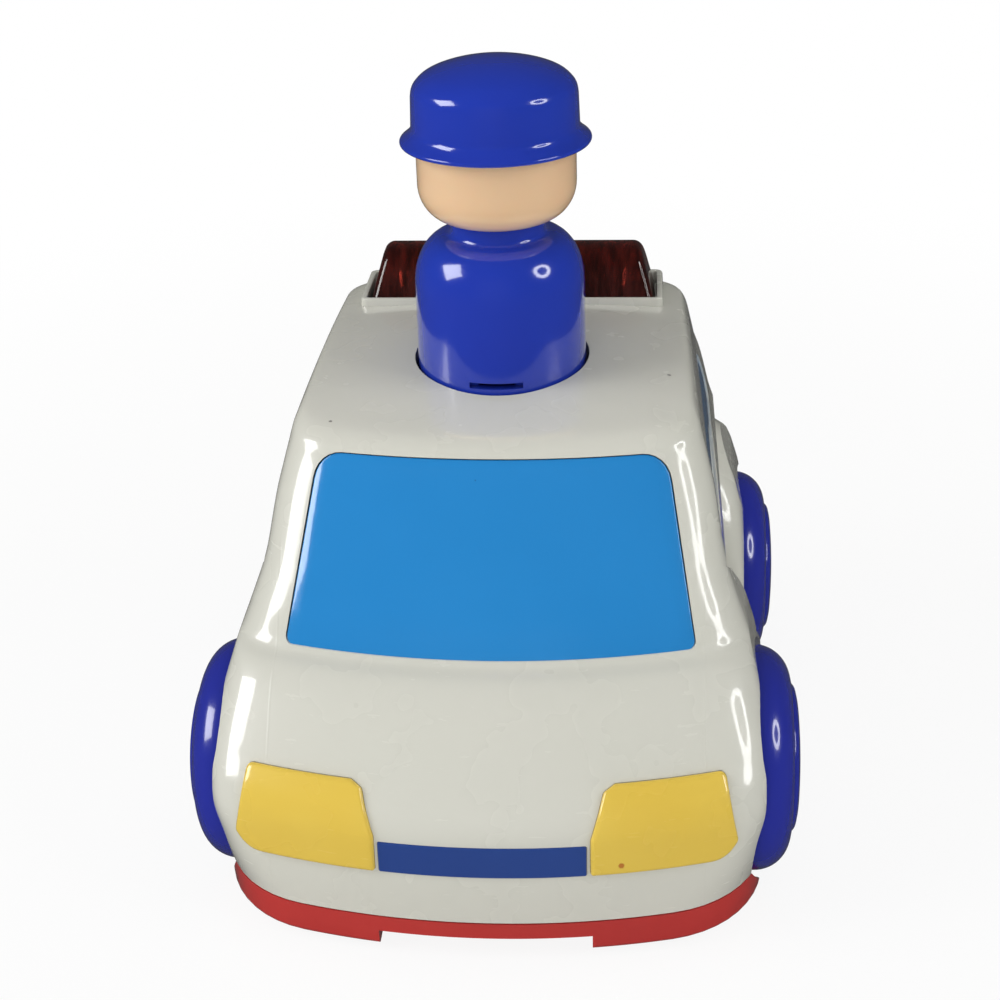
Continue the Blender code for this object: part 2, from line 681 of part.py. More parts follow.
FENDERS = [("front", FRONT_AXLE_Y, FRONT_FENDER_RISE), ("rear", REAR_AXLE_Y, REAR_FENDER_RISE)]
SIDES = [("left", -1.0), ("right", 1.0)]


def well_solid(name, axle_y, side, grow, collection):
    """The round space that a wheel turns in."""
    radius = WHEEL_RADIUS + WELL_CLEARANCE + grow
    inner = TYRE_OUTER_X - WHEEL_WIDTH - WELL_SIDE_GAP - grow
    outline = arc((axle_y, WHEEL_RADIUS), radius, 0.0, 360.0 - 360.0 / WELL_SEGMENTS, WELL_SEGMENTS - 1)
    low, high = sorted((side * inner, side * (HUB_OUTER_X + OVERRUN)))
    return outline_solid(name, [outline], low, high, collection, ALONG_X)


def door_recess(name, side, inset, collection, facets):
    """What the doors lie back by: a slab beside the body that leaves the fenders standing."""
    xs = sorted((side * (DOOR_HALF_WIDTH - inset), side * (FENDER_OUTER_X + OVERRUN)))
    back = BODY_HALF_LENGTH + OVERRUN
    low = SEAM_Z - OVERRUN
    slab = cutter(box(name, (xs[0], FRONT_AXLE_Y, low), (xs[1], back, SCREEN_TOP_Z), collection))
    for place, axle_y, rise in FENDERS:
        boolean(slab, cutter(fender_solid(f"{name}_{place}", axle_y, rise, side, inset, collection,
                                          low - OVERRUN, facets)))
    return slab


def skin_with_fenders(name, inset, collection, bottom=None, facets=OUTER_FACETS):
    """The body's form as one solid, the doors set back between its fenders."""
    item = body_solid(name, inset, collection, bottom, facets)
    for side_name, side in SIDES:
        boolean(item, door_recess(f"{name}_door_{side_name}", side, inset, collection, facets))
    return item


# Window, lamp and strip outlines

def screen_outline(grow):
    low = COWL_Z + SCREEN_BOTTOM_MARGIN
    high = SCREEN_TOP_Z - SCREEN_TOP_MARGIN
    return rounded_outline([
        (-SCREEN_BOTTOM_HALF - grow, low - grow, SCREEN_LOW_CORNER),
        (SCREEN_BOTTOM_HALF + grow, low - grow, SCREEN_LOW_CORNER),
        (SCREEN_TOP_HALF + grow, high + grow, SCREEN_CORNER + grow),
        (-SCREEN_TOP_HALF - grow, high + grow, SCREEN_CORNER + grow)], steps=4)


def rear_outline(grow):
    return rounded_outline([
        (-REAR_PANE_BOTTOM_HALF - grow, REAR_PANE_BOTTOM_Z - grow, PANE_LOW_ROUND),
        (REAR_PANE_BOTTOM_HALF + grow, REAR_PANE_BOTTOM_Z - grow, PANE_LOW_ROUND),
        (REAR_PANE_TOP_HALF + grow, REAR_PANE_TOP_Z + grow, PANE_HIGH_ROUND + grow),
        (-REAR_PANE_TOP_HALF - grow, REAR_PANE_TOP_Z + grow, PANE_HIGH_ROUND + grow)])


def side_outline(grow):
    return rounded_outline([
        (SIDE_PANE_FRONT_LOW_Y - grow, SIDE_PANE_BOTTOM_Z - grow, PANE_LOW_ROUND),
        (SIDE_PANE_REAR_LOW_Y + grow, SIDE_PANE_BOTTOM_Z - grow, PANE_LOW_ROUND),
        (SIDE_PANE_REAR_HIGH_Y + grow, SIDE_PANE_TOP_Z + grow, PANE_HIGH_ROUND + grow),
        (SIDE_PANE_FRONT_HIGH_Y - grow, SIDE_PANE_TOP_Z + grow, PANE_HIGH_ROUND + grow)])


def lamp_outline(side, grow):
    corners = [
        (LAMP_INNER_X - grow, LAMP_BOTTOM_Z - grow, LAMP_FOOT_ROUND),
        (LAMP_OUTER_TOP_X, LAMP_BOTTOM_Z - grow, LAMP_LOW_ROUND),
        (LAMP_OUTER_X + grow, LAMP_OUTER_LOW_Z, LAMP_ROUND),
        (LAMP_OUTER_TOP_X + grow, LAMP_TOP_Z + grow, LAMP_ROUND),
        (LAMP_CUT_X, LAMP_TOP_Z + grow, LAMP_CUT_ROUND),
        (LAMP_INNER_TOP_X - grow, LAMP_INNER_TOP_Z, LAMP_CUT_ROUND),
        (LAMP_INNER_X - grow, LAMP_STEP_Z, LAMP_ROUND)]
    points = rounded_outline(corners, steps=2)
    return [(side * x, z) for x, z in points][::int(side)]


def strip_outline(grow):
    half = LAMP_INNER_X - STRIP_SIDE_GAP
    return rounded_outline([
        (-half - grow, STRIP_BOTTOM_Z - grow, STRIP_ROUND),
        (half + grow, STRIP_BOTTOM_Z - grow, STRIP_ROUND),
        (half + grow, STRIP_TOP_Z + grow, STRIP_ROUND),
        (-half - grow, STRIP_TOP_Z + grow, STRIP_ROUND)], steps=1)


Opening = namedtuple("Opening", "name outline turn low high finish")


def window_openings():
    """Where each pane sits: its outline, the way it faces and its reach along that way."""
    reach = BODY_HALF_LENGTH + OVERRUN
    wide = BODY_HALF_WIDTH + OVERRUN
    screen_back = BODY_HALF_LENGTH - SCREEN_TOP_SETBACK - 3.0 * WALL
    return [
        Opening("windscreen_pane", screen_outline, ALONG_Y, screen_back, reach, "sky_blue_plastic"),
        Opening("rear_pane", rear_outline, ALONG_Y, -reach, -ROOF_PEAK_Y, "sky_blue_plastic"),
        Opening("side_pane_left", side_outline, ALONG_X, -wide, -ROOF_HALF_WIDTH / 2.0,
                "sky_blue_plastic"),
        Opening("side_pane_right", side_outline, ALONG_X, ROOF_HALF_WIDTH / 2.0, wide,
                "sky_blue_plastic"),
    ]


def nose_openings():
    reach = BODY_HALF_LENGTH + OVERRUN
    found = [Opening("nose_strip", strip_outline, ALONG_Y, 0.0, reach, "navy_plastic")]
    for side_name, side in SIDES:
        found.append(Opening(f"headlight_{side_name}", lambda grow, side=side: lamp_outline(side, grow),
                             ALONG_Y, 0.0, reach, "yellow_plastic"))
    return found


def opening_solid(opening, tag, grow, collection, finish=None):
    return outline_solid(f"{opening.name}{tag}", [opening.outline(grow)], opening.low,
                         opening.high, collection, opening.turn, finish)


def build_pane(opening, parts, cutters):
    """A pane with the flange that holds it behind the wall."""
    pane = opening_solid(opening, "", -SEAT_GAP, parts, opening.finish)
    face = PANE_RECESS
    flange = WALL + SEAT_GAP
    back = flange + PANE_FLANGE_THICKNESS
    boolean(pane, cutter(body_solid(f"{opening.name}_face", face, cutters)), "INTERSECT")
    rim = cutter(opening_solid(opening, "_rim", PANE_FLANGE, cutters))
    boolean(rim, cutter(body_solid(f"{opening.name}_rim_face", flange, cutters)), "INTERSECT")
    boolean(pane, rim, "UNION")
    boolean(pane, cutter(body_solid(f"{opening.name}_back", back, cutters, BASE_BOTTOM_Z)))
    return pane


def build_nose_piece(opening, proud, parts, cutters):
    """A lamp or strip set into its own recess on the nose."""
    piece = opening_solid(opening, "", -SEAT_GAP, parts, opening.finish)
    skin = cutter(body_solid(f"{opening.name}_face", -proud, cutters))
    inner = cutter(body_solid(f"{opening.name}_back", LAMP_DEPTH, cutters, BASE_BOTTOM_Z))
    boolean(piece, skin, "INTERSECT")
    boolean(piece, inner)
    for side_name, side in SIDES:
        boolean(piece, cutter(well_solid(f"{opening.name}_well_{side_name}", FRONT_AXLE_Y, side,
                                         SEAT_GAP, cutters)))
    return piece


# Roof fittings

def bar_edges(grow):
    """Front, rear and top of the light bar's section and the fold above its front face."""
    front = BAR_FRONT_Y - grow
    rear = BAR_REAR_Y + grow
    top = BAR_TOP_Z + grow
    fold = (BAR_FRONT_Y + BAR_FRONT_SLOPE - grow, BAR_FOLD_Z + grow)
    return front, rear, top, fold


def bar_seat_z():
    return ROOF_EDGE_Z + roof_lift(BAR_FRONT_Y) + ROOF_CROWN / 2.0 - BAR_SEAT_SINK


def bar_section(x, inset, bottom, shrink=0.0):
    """The light bar's closed section at x, inset from its outer face."""
    front, rear, top, fold = bar_edges(-inset - shrink)
    round_center = (BAR_REAR_Y - BAR_ROUND, BAR_TOP_Z - BAR_ROUND)
    points = [(rear, bottom), (rear, round_center[1])]
    points += arc(round_center, top - round_center[1], BAR_ROUND_START, 90.0, 2)
    points += [(fold[0] + BAR_FOLD_DEPTH, top), fold, (front, bottom)]
    return [Vector((x, y, z)) for y, z in points]


def loft(name, sections, collection, finish=None):
    """A closed solid through sections that have the same number of points."""
    shape = bmesh.new()
    rings = [[shape.verts.new(point) for point in section] for section in sections]
    count = len(rings[0])
    for near, far in zip(rings, rings[1:]):
        for i in range(count):
            j = (i + 1) % count
            shape.faces.new((near[i], near[j], far[j], far[i]))
    shape.faces.new(rings[0])
    shape.faces.new(rings[-1])
    return from_bmesh(name, shape, collection, finish)


def slope_ends(section, inset, bottom):
    """Leans the end sections in towards the top, as the moulded lens does."""
    leaned = []
    for point in section:
        share = (point.z - bottom) / (BAR_TOP_Z - bottom)
        reach = BAR_HALF_LENGTH - inset - BAR_END_SLOPE * share
        leaned.append(Vector((max(-reach, min(reach, point.x)), point.y, point.z)))
    return leaned


def build_light_bar(parts, cutters):
    """The clear lens: a hollow D section with upright ribs moulded inside its front."""
    bottom = bar_seat_z() + SEAT_GAP
    half = BAR_HALF_LENGTH
    near = [slope_ends(bar_section(x, 0.0, bottom), 0.0, bottom)
            for x in (-half, -half + BAR_END_SLOPE + BAR_END_EDGE,
                      half - BAR_END_SLOPE - BAR_END_EDGE, half)]
    near[0] = slope_ends(bar_section(-half, BAR_END_EDGE, bottom), 0.0, bottom)
    near[-1] = slope_ends(bar_section(half, BAR_END_EDGE, bottom), 0.0, bottom)
    lens = loft("light_bar_lens", near, parts, "smoked_red_plastic")
    inner_half = half - BAR_WALL
    count = int(2.0 * (inner_half - BAR_END_SLOPE) / BAR_RIB_PITCH)
    step = 2.0 * (inner_half - BAR_END_SLOPE) / count
    below = bottom - OVERRUN
    sections = [slope_ends(bar_section(-inner_half, BAR_WALL, below), BAR_WALL, bottom)]
    for i in range(count):
        x = -inner_half + BAR_END_SLOPE + step * i
        sections.append(bar_section(x, BAR_WALL, below, BAR_RIB_DEPTH))
        sections.append(bar_section(x + step / 2.0, BAR_WALL, below))
    sections.append(bar_section(inner_half - BAR_END_SLOPE, BAR_WALL, below, BAR_RIB_DEPTH))
    sections.append(slope_ends(bar_section(inner_half, BAR_WALL, below), BAR_WALL, bottom))
    boolean(lens, cutter(loft("light_bar_hollow", sections, cutters)))
    return lens


def rim_outline(grow):
    half = BAR_HALF_LENGTH + SEAT_GAP + grow
    front = BAR_FRONT_Y - SEAT_GAP - grow
    rear = BAR_REAR_Y + SEAT_GAP + grow
    return rounded_outline([(-half, front, RIM_ROUND), (half, front, RIM_ROUND),
                            (half, rear, RIM_ROUND), (-half, rear, RIM_ROUND)], steps=1)


def screw_places():
    inset = BODY_HALF_LENGTH - POST_WALL_INSET
    return [(x, y) for y in (-inset, inset) for x in (-SCREW_X, SCREW_X)]


def axle_slot(name, axle_y, side, gap, upward, collection):
    """A slot for the axle through one wheel well's inner wall, open up or down."""
    radius = AXLE_RADIUS + gap
    center = (axle_y, WHEEL_RADIUS)
    start, end, far = (180.0, 360.0, 2.0 * WHEEL_RADIUS) if upward else (0.0, 180.0, -OVERRUN)
    outline = arc(center, radius, start, end, 8)
    outline += [(outline[-1][0], far), (outline[0][0], far)]
    inner = TYRE_OUTER_X - WHEEL_WIDTH - WELL_SIDE_GAP
    low, high = sorted((side * (inner - 3.0 * WELL_WALL), side * (inner + WELL_WALL)))
    return outline_solid(name, [outline], low, high, collection, ALONG_X)


def build_body_shell(parts, cutters):
    """The white upper moulding: skin, fenders, wheel wells, roof collar, rim and screw posts."""
    shell = skin_with_fenders("body_shell_blank", 0.0, parts)
    shell.name = "body_shell"
    shell.data.materials.append(material("white_plastic"))
    hollow = cutter(skin_with_fenders("body_hollow", WALL, cutters, BASE_BOTTOM_Z, INNER_FACETS))
    for place, axle_y, _ in FENDERS:
        for side_name, side in SIDES:
            tag = f"{place}_{side_name}"
            boolean(hollow, cutter(well_solid(f"well_wall_{tag}", axle_y, side, WELL_WALL, cutters)))
    collar_top = ROOF_EDGE_Z + ROOF_RISE
    collar_bottom = TORSO_BOTTOM_Z + FLANGE_HEIGHT + SEAT_GAP
    collar_radius = TORSO_RADIUS + TORSO_HOLE_GAP
    boolean(hollow, cutter(rod("roof_collar", (0, FIGURE_Y, collar_bottom),
                               (0, FIGURE_Y, collar_top), collar_radius + COLLAR_WALL, cutters,
                               segments=FIGURE_SEGMENTS)))
    seat_z = bar_seat_z()
    boolean(hollow, cutter(outline_solid("bar_seat", [rim_outline(RIM_WIDTH)], seat_z - WALL,
                                         BAR_TOP_Z, cutters)))
    for number, (x, y) in enumerate(screw_places(), 1):
        boolean(hollow, cutter(rod(f"screw_post_{number}", (x, y, -OVERRUN), (x, y, POST_TOP_Z),
                                   POST_RADIUS, cutters)))
    boolean(shell, hollow)
    rim = cutter(outline_solid("bar_rim", [rim_outline(RIM_WIDTH)], seat_z - WALL / 2.0,
                               bar_seat_z() + BAR_SEAT_SINK + RIM_HEIGHT, cutters))
    boolean(shell, rim, "UNION")
    boolean(shell, cutter(outline_solid("bar_recess", [rim_outline(0.0)], seat_z, BAR_TOP_Z + OVERRUN,
                                        cutters)))
    for place, axle_y, _ in FENDERS:
        for side_name, side in SIDES:
            tag = f"{place}_{side_name}"
            boolean(shell, cutter(well_solid(f"well_{tag}", axle_y, side, 0.0, cutters)))
            boolean(shell, cutter(axle_slot(f"axle_slot_{tag}", axle_y, side, BEARING_GAP, False,
                                            cutters)))
    boolean(shell, cutter(rod("roof_hole", (0, FIGURE_Y, WHEEL_RADIUS), (0, FIGURE_Y, BAR_TOP_Z),
                              collar_radius, cutters, segments=FIGURE_SEGMENTS)))
    for opening in window_openings():
        boolean(shell, cutter(opening_solid(opening, "_opening", 0.0, cutters)))
    for opening in nose_openings():
        recess = cutter(opening_solid(opening, "_recess", 0.0, cutters))
        boolean(recess, cutter(body_solid(f"{opening.name}_floor", LAMP_DEPTH + SEAT_GAP, cutters,
                                          BASE_BOTTOM_Z)))
        boolean(shell, recess)
    for number, (x, y) in enumerate(screw_places(), 1):
        boolean(shell, cutter(rod(f"screw_hole_{number}", (x, y, -OVERRUN),
                                  (x, y, SEAM_Z + SCREW_LENGTH), SCREW_SHANK_RADIUS + SEAT_GAP,
                                  cutters)))
    return shell


def base_blank(name, inset, low, collection):
    """The base's outline as a solid: the body's lowest ring and the fenders' feet."""
    shape = bmesh.new()
    ring = ring_points(body_stations()[0])
    edge = 0.0 if inset > SMALL else BASE_EDGE
    sections = [(low, edge), (low + edge, edge / 4.0), (low + 2.0 * edge, 0.0), (SEAM_Z, 0.0)]
    if inset > SMALL:
        sections = [(low, 0.0), (SEAM_Z + OVERRUN, 0.0)]
    rings = []
    count = len(ring)
    normals = []
    for i in range(count):
        run = ring[(i + 1) % count] - ring[i - 1]
        normals.append(Vector((run.y, -run.x, 0.0)).normalized())
    for z, shrink in sections:
        rings.append([shape.verts.new(Vector((p.x, p.y, z)) - n * (inset + shrink))
                      for p, n in zip(ring, normals)])
    for below, above in zip(rings, rings[1:]):
        for i in range(count):
            j = (i + 1) % count
            shape.faces.new((below[i], below[j], above[j], above[i]))
    shape.faces.new(rings[0])
    shape.faces.new(rings[-1])
    item = from_bmesh(name, shape, collection)
    for side_name, side in SIDES:
        boolean(item, door_recess(f"{name}_door_{side_name}", side, inset, collection,
                                  OUTER_FACETS))
    return item


def build_base_pan(parts, cutters):
    """The red lower moulding: floor, side walls, bosses, axle saddles and the spring post."""
    pan = base_blank("base_pan_blank", 0.0, BASE_BOTTOM_Z, parts)
    pan.name = "base_pan"
    pan.data.materials.append(material("red_plastic"))
    floor = BASE_BOTTOM_Z + WALL
    hollow = cutter(base_blank("base_hollow", WALL, floor, cutters))
    for place, axle_y, _ in FENDERS:
        for side_name, side in SIDES:
            tag = f"{place}_{side_name}"
            boolean(hollow, cutter(well_solid(f"base_well_wall_{tag}", axle_y, side, WELL_WALL,
                                              cutters)))
    notch_low = -OVERRUN
    notch_top = BASE_BOTTOM_Z + NOTCH_HEIGHT
    nose = -BODY_HALF_LENGTH
    boolean(hollow, cutter(box("notch_backing", (-NOTCH_HALF_WIDTH - WALL, nose - OVERRUN, notch_low),
                               (NOTCH_HALF_WIDTH + WALL, nose + NOTCH_DEPTH + WALL,
                                notch_top + WALL), cutters)))
    for number, (x, y) in enumerate(screw_places(), 1):
        boolean(hollow, cutter(rod(f"boss_{number}", (x, y, -OVERRUN), (x, y, 2.0 * SEAM_Z),
                                   BOSS_RADIUS, cutters)))
    boolean(pan, hollow)
    boolean(pan, cutter(box("notch", (-NOTCH_HALF_WIDTH, nose - OVERRUN, notch_low),
                            (NOTCH_HALF_WIDTH, nose + NOTCH_DEPTH, notch_top), cutters)))
    for place, axle_y, _ in FENDERS:
        for side_name, side in SIDES:
            tag = f"{place}_{side_name}"
            boolean(pan, cutter(well_solid(f"base_well_{tag}", axle_y, side, 0.0, cutters)))
            boolean(pan, cutter(saddle(tag, axle_y, side, cutters)), "UNION")
            boolean(pan, cutter(axle_slot(f"saddle_slot_{tag}", axle_y, side, BEARING_GAP, True,
                                          cutters)))
    for number, (x, y) in enumerate(screw_places(), 1):
        head_top = BASE_BOTTOM_Z + WALL
        boolean(pan, cutter(rod(f"head_recess_{number}", (x, y, -OVERRUN), (x, y, head_top),
                                SCREW_HEAD_RADIUS + SEAT_GAP, cutters, segments=16)))
        boolean(pan, cutter(rod(f"boss_hole_{number}", (x, y, -OVERRUN), (x, y, OVERRUN),
                                SCREW_SHANK_RADIUS + SEAT_GAP, cutters)))
    post_top = SPRING_SEAT_Z + SPRING_POST_LENGTH
    post_radius = SPRING_RADIUS - SPRING_WIRE - SEAT_GAP
    boolean(pan, cutter(rod("spring_seat", (0, SPRING_Y, BASE_BOTTOM_Z + WALL / 2.0),
                            (0, SPRING_Y, SPRING_SEAT_Z), SPRING_RADIUS + 2.0 * SPRING_WIRE, cutters,
                            segments=16)), "UNION")
    boolean(pan, cutter(rod("spring_post", (0, SPRING_Y, BASE_BOTTOM_Z + WALL / 2.0),
                            (0, SPRING_Y, post_top), post_radius, cutters)), "UNION")
    return pan


def saddle(tag, axle_y, side, cutters):
    """An upright rib beside a wheel well, that the axle lies on."""
    inner = TYRE_OUTER_X - WHEEL_WIDTH - WELL_SIDE_GAP - WELL_WALL - SEAT_GAP
    low, high = sorted((side * (inner - WELL_WALL), side * inner))
    floor = BASE_BOTTOM_Z + WALL / 2.0
    top = WHEEL_RADIUS + SADDLE_HEAD
    outline = [(axle_y - SADDLE_FOOT, floor), (axle_y + SADDLE_FOOT, floor),
               (axle_y + SADDLE_HEAD, top), (axle_y - SADDLE_HEAD, top)]
    return outline_solid(f"saddle_{tag}", [outline], low, high, cutters, ALONG_X)


# Wheels and axles

def wheel_profile():
    """The wheel's section: a rounded tyre, a proud domed hub and a cored back."""
    inner_x = TYRE_OUTER_X - WHEEL_WIDTH
    seat = HUB_OUTER_X - HUB_FACE_WALL
    core = TYRE_OUTER_X - WHEEL_CORE_DEPTH
    ring = WHEEL_RADIUS - 2.0 * WHEEL_SKIN
    bore = AXLE_RADIUS + BEARING_GAP
    hub_edge = (HUB_RADIUS - HUB_EDGE, HUB_OUTER_X - HUB_DOME)
    points = [(0.0, HUB_OUTER_X), (HUB_RADIUS / 2.0, HUB_OUTER_X - HUB_DOME / 4.0), hub_edge]
    points += [(HUB_RADIUS - HUB_EDGE / 4.0, hub_edge[1] - HUB_EDGE / 2.0)]
    points += [(HUB_RADIUS, TYRE_OUTER_X - HUB_SINK)]
    points += arc((WHEEL_RADIUS - TYRE_SHOULDER, TYRE_OUTER_X - TYRE_SHOULDER), TYRE_SHOULDER,
                  TYRE_FACE_ANGLE, 0.0, 3)
    points += [(WHEEL_RADIUS, inner_x + TYRE_BACK_EDGE), (WHEEL_RADIUS - TYRE_BACK_EDGE, inner_x)]
    points += [(ring, inner_x), (ring, core), (WHEEL_CORE_RADIUS, core), (WHEEL_CORE_RADIUS, inner_x)]
    points += [(bore, inner_x), (bore, seat), (0.0, seat)]
    return points


def build_wheel(name, axle_y, side, parts):
    wheel = turned(name, wheel_profile(), parts, "wheel_blue_plastic", WHEEL_SEGMENTS)
    wheel.rotation_euler = (0.0, side * pi / 2.0, 0.0)
    wheel.location = (0.0, axle_y, WHEEL_RADIUS)
    return wheel


def build_axle(name, axle_y, parts):
    half = HUB_OUTER_X - HUB_FACE_WALL - SEAT_GAP
    axle = rod(name, (-half, 0, 0), (half, 0, 0), AXLE_RADIUS, parts, "steel", 16)
    axle.location = (0.0, axle_y, WHEEL_RADIUS)
    return axle


# Figure

def quarter_round(near, far, steps=3):
    """Points between two corners of a profile on a quarter ellipse, level at the near one."""
    points = []
    for step in range(1, steps):
        angle = pi / 2.0 * step / steps
        points.append((between(near[0], far[0], sin(angle)), between(far[1], near[1], cos(angle))))
    return points


def torso_profile():
    wall = TORSO_WALL
    flange = TORSO_RADIUS + FLANGE_WIDTH
    flange_top = TORSO_BOTTOM_Z + FLANGE_HEIGHT
    bore = SPIGOT_RADIUS + SEAT_GAP
    under_shoulder = SHOULDER_TOP_Z - wall
    shoulder_top = (SHOULDER_TOP_RADIUS, SHOULDER_TOP_Z)
    shoulder = (TORSO_SHOULDER_RADIUS, SHOULDER_Z)
    points = [(NECK_RADIUS, NECK_Z), (NECK_RADIUS + COLLAR_CURVE, NECK_Z - COLLAR_DROP), shoulder_top]
    points += quarter_round(shoulder_top, shoulder)
    points += [shoulder, (TORSO_RADIUS, flange_top), (flange, flange_top), (flange, TORSO_BOTTOM_Z)]
    points += [(TORSO_RADIUS - wall, TORSO_BOTTOM_Z), (TORSO_SHOULDER_RADIUS - wall, SHOULDER_Z)]
    points += [(SHOULDER_TOP_RADIUS - wall, under_shoulder), (bore, under_shoulder), (bore, NECK_Z)]
    return points


def build_torso(parts, cutters):
    torso = turned("figure_torso", torso_profile(), parts, "deep_blue_plastic")
    torso.location = (0.0, FIGURE_Y, 0.0)
    slot = cutter(box("torso_slot", (-SLOT_HALF_WIDTH, FIGURE_Y - TORSO_RADIUS - OVERRUN, SLOT_BOTTOM_Z),
                      (SLOT_HALF_WIDTH, FIGURE_Y - TORSO_RADIUS / 2.0, SLOT_TOP_Z), cutters))
    return boolean(torso, slot)


def head_profile():
    wall = HEAD_WALL
    radius = HEAD_RADIUS
    low = HEAD_BOTTOM_Z
    spigot_low = low - SPIGOT_LENGTH
    bore = SPIGOT_RADIUS - wall
    chin = [(radius, HEAD_ROUND_Z)]
    chin += reversed(quarter_round((CHIN_RADIUS, low), (radius, HEAD_ROUND_Z)))
    points = [(radius, HEAD_TOP_Z)] + chin + [(CHIN_RADIUS, low)]
    points += [(SPIGOT_RADIUS, low), (SPIGOT_RADIUS, spigot_low), (bore, spigot_low)]
    points += [(bore, low + wall), (radius - 2.0 * wall, low + wall)]
    points += [(radius - wall, HEAD_ROUND_Z), (radius - wall, HEAD_TOP_Z)]
    return points


def crown_z(radius):
    """Height of the cap's domed top."""
    return CAP_TOP_Z - CAP_DOME * (radius / CAP_CROWN_RADIUS) ** 2


def cap_profile():
    wall = CAP_WALL
    crown = CAP_CROWN_RADIUS
    inner = HEAD_RADIUS + SEAT_GAP
    inside_top = HEAD_TOP_Z + SEAT_GAP
    plug = HEAD_RADIUS - HEAD_WALL - SEAT_GAP
    plug_low = inside_top - CAP_PLUG_LENGTH
    points = [(share * crown, crown_z(share * crown)) for share in (0.0, 0.4, 0.72)]
    points += arc((crown - CAP_EDGE_ROUND, CAP_EDGE_Z - CAP_EDGE_ROUND / 4.0), CAP_EDGE_ROUND,
                  CAP_EDGE_START, 0.0, 2)
    points += [(CAP_JOIN_RADIUS, CAP_JOIN_Z), (CAP_BRIM_RADIUS, CAP_BRIM_Z + CAP_BRIM_EDGE)]
    points += [(CAP_BRIM_RADIUS - CAP_BRIM_EDGE, CAP_BRIM_Z), (inner, CAP_BRIM_Z)]
    points += [(inner, inside_top), (plug, inside_top), (plug, plug_low), (plug - wall, plug_low)]
    points += [(plug - wall, crown_z(plug) - wall), (0.4 * crown, crown_z(0.4 * crown) - wall)]
    points += [(0.0, CAP_TOP_Z - wall)]
    return points


def build_figure(parts, cutters):
    build_torso(parts, cutters)
    head = turned("figure_head", head_profile(), parts, "skin_plastic")
    head.location = (0.0, FIGURE_Y, 0.0)
    cap = turned("figure_cap", cap_profile(), parts, "deep_blue_plastic")
    cap.location = (0.0, FIGURE_Y, 0.0)


# Gears

def involute_angle(radius, base):
    if radius <= base:
        return 0.0
    roll = sqrt((radius / base) ** 2 - 1.0)
    return roll - acos(base / radius)


def gear_outline(teeth, phase, center):
    """Involute teeth with running play; the phase turns the first tooth from +Y towards +Z."""
    pitch = MODULE * teeth / 2.0
    base = pitch * cos(PRESSURE_ANGLE)
    tip = pitch + ADDENDUM
    root = pitch - DEDENDUM
    half_tooth = (pi * MODULE / 2.0 - BACKLASH) / (2.0 * pitch) + involute_angle(pitch, base)
    points = []
    for tooth in range(teeth):
        middle = phase + 2.0 * pi * tooth / teeth
        side = [(root, half_tooth), (tip, half_tooth - involute_angle(tip, base))]
        for radius, angle in side:
            points.append((radius, middle - angle))
        for radius, angle in reversed(side):
            points.append((radius, middle + angle))
    return [(center[0] + radius * cos(angle), center[1] + radius * sin(angle))
            for radius, angle in points]


def gear_solid(name, teeth, phase, center, low, high, collection, finish=None):
    return outline_solid(name, [gear_outline(teeth, phase, center)], low, high, collection, ALONG_X,
                         finish)


def gear_places():
    """Shaft centres (y, z): the winding gear on the rack, the clutch gear between it and the axle."""
    pinion = MODULE * PINION_TEETH / 2.0
    winding = MODULE * WINDING_TEETH / 2.0
    clutch = MODULE * CLUTCH_TEETH / 2.0
    axle_gear = MODULE * AXLE_GEAR_TEETH / 2.0
    first = Vector((RACK_PITCH_Y + pinion, WINDING_Z))
    last = Vector((REAR_AXLE_Y, WHEEL_RADIUS))
    near = winding + pinion
    far = clutch + axle_gear + 2.0 * ADDENDUM + CLUTCH_OPEN_GAP
    span = (last - first).length
    along = (near * near - far * far + span * span) / (2.0 * span)
    rise = sqrt(near * near - along * along)
    unit = (last - first).normalized()
    up = Vector((-unit.y, unit.x))
    middle = first + unit * along + up * rise
    return first, middle, last


def gear_planes():
    """Where each gear lies across the car: rack and pinion, winding pair, axle pair."""
    rack_half = RACK_WIDTH / 2.0
    pair_low = rack_half + GEAR_SIDE_GAP
    pair_high = pair_low + GEAR_WIDTH
    axle_low = pair_high + GEAR_SIDE_GAP
    axle_high = axle_low + GEAR_WIDTH
    return rack_half, pair_low, pair_high, axle_low, axle_high


def plate_planes():
    _, _, _, _, axle_high = gear_planes()
    rack_half = RACK_WIDTH / 2.0
    left_inner = -rack_half - GEAR_SIDE_GAP
    right_inner = axle_high + GEAR_SIDE_GAP
    return left_inner - PLATE_THICKNESS, left_inner, right_inner, right_inner + PLATE_THICKNESS


def clutch_phase(first, middle):
    """Turns the clutch pinion so that its teeth stand in the winding gear's gaps at rest."""
    direction = atan2(middle.y - first.y, middle.x - first.x)
    tooth_from_line = (direction - winding_phase()) * WINDING_TEETH / (2.0 * pi)
    share = tooth_from_line - int(tooth_from_line)
    back = direction + pi
    return back + (share - 0.5) * 2.0 * pi / PINION_TEETH


def winding_phase():
    return pi


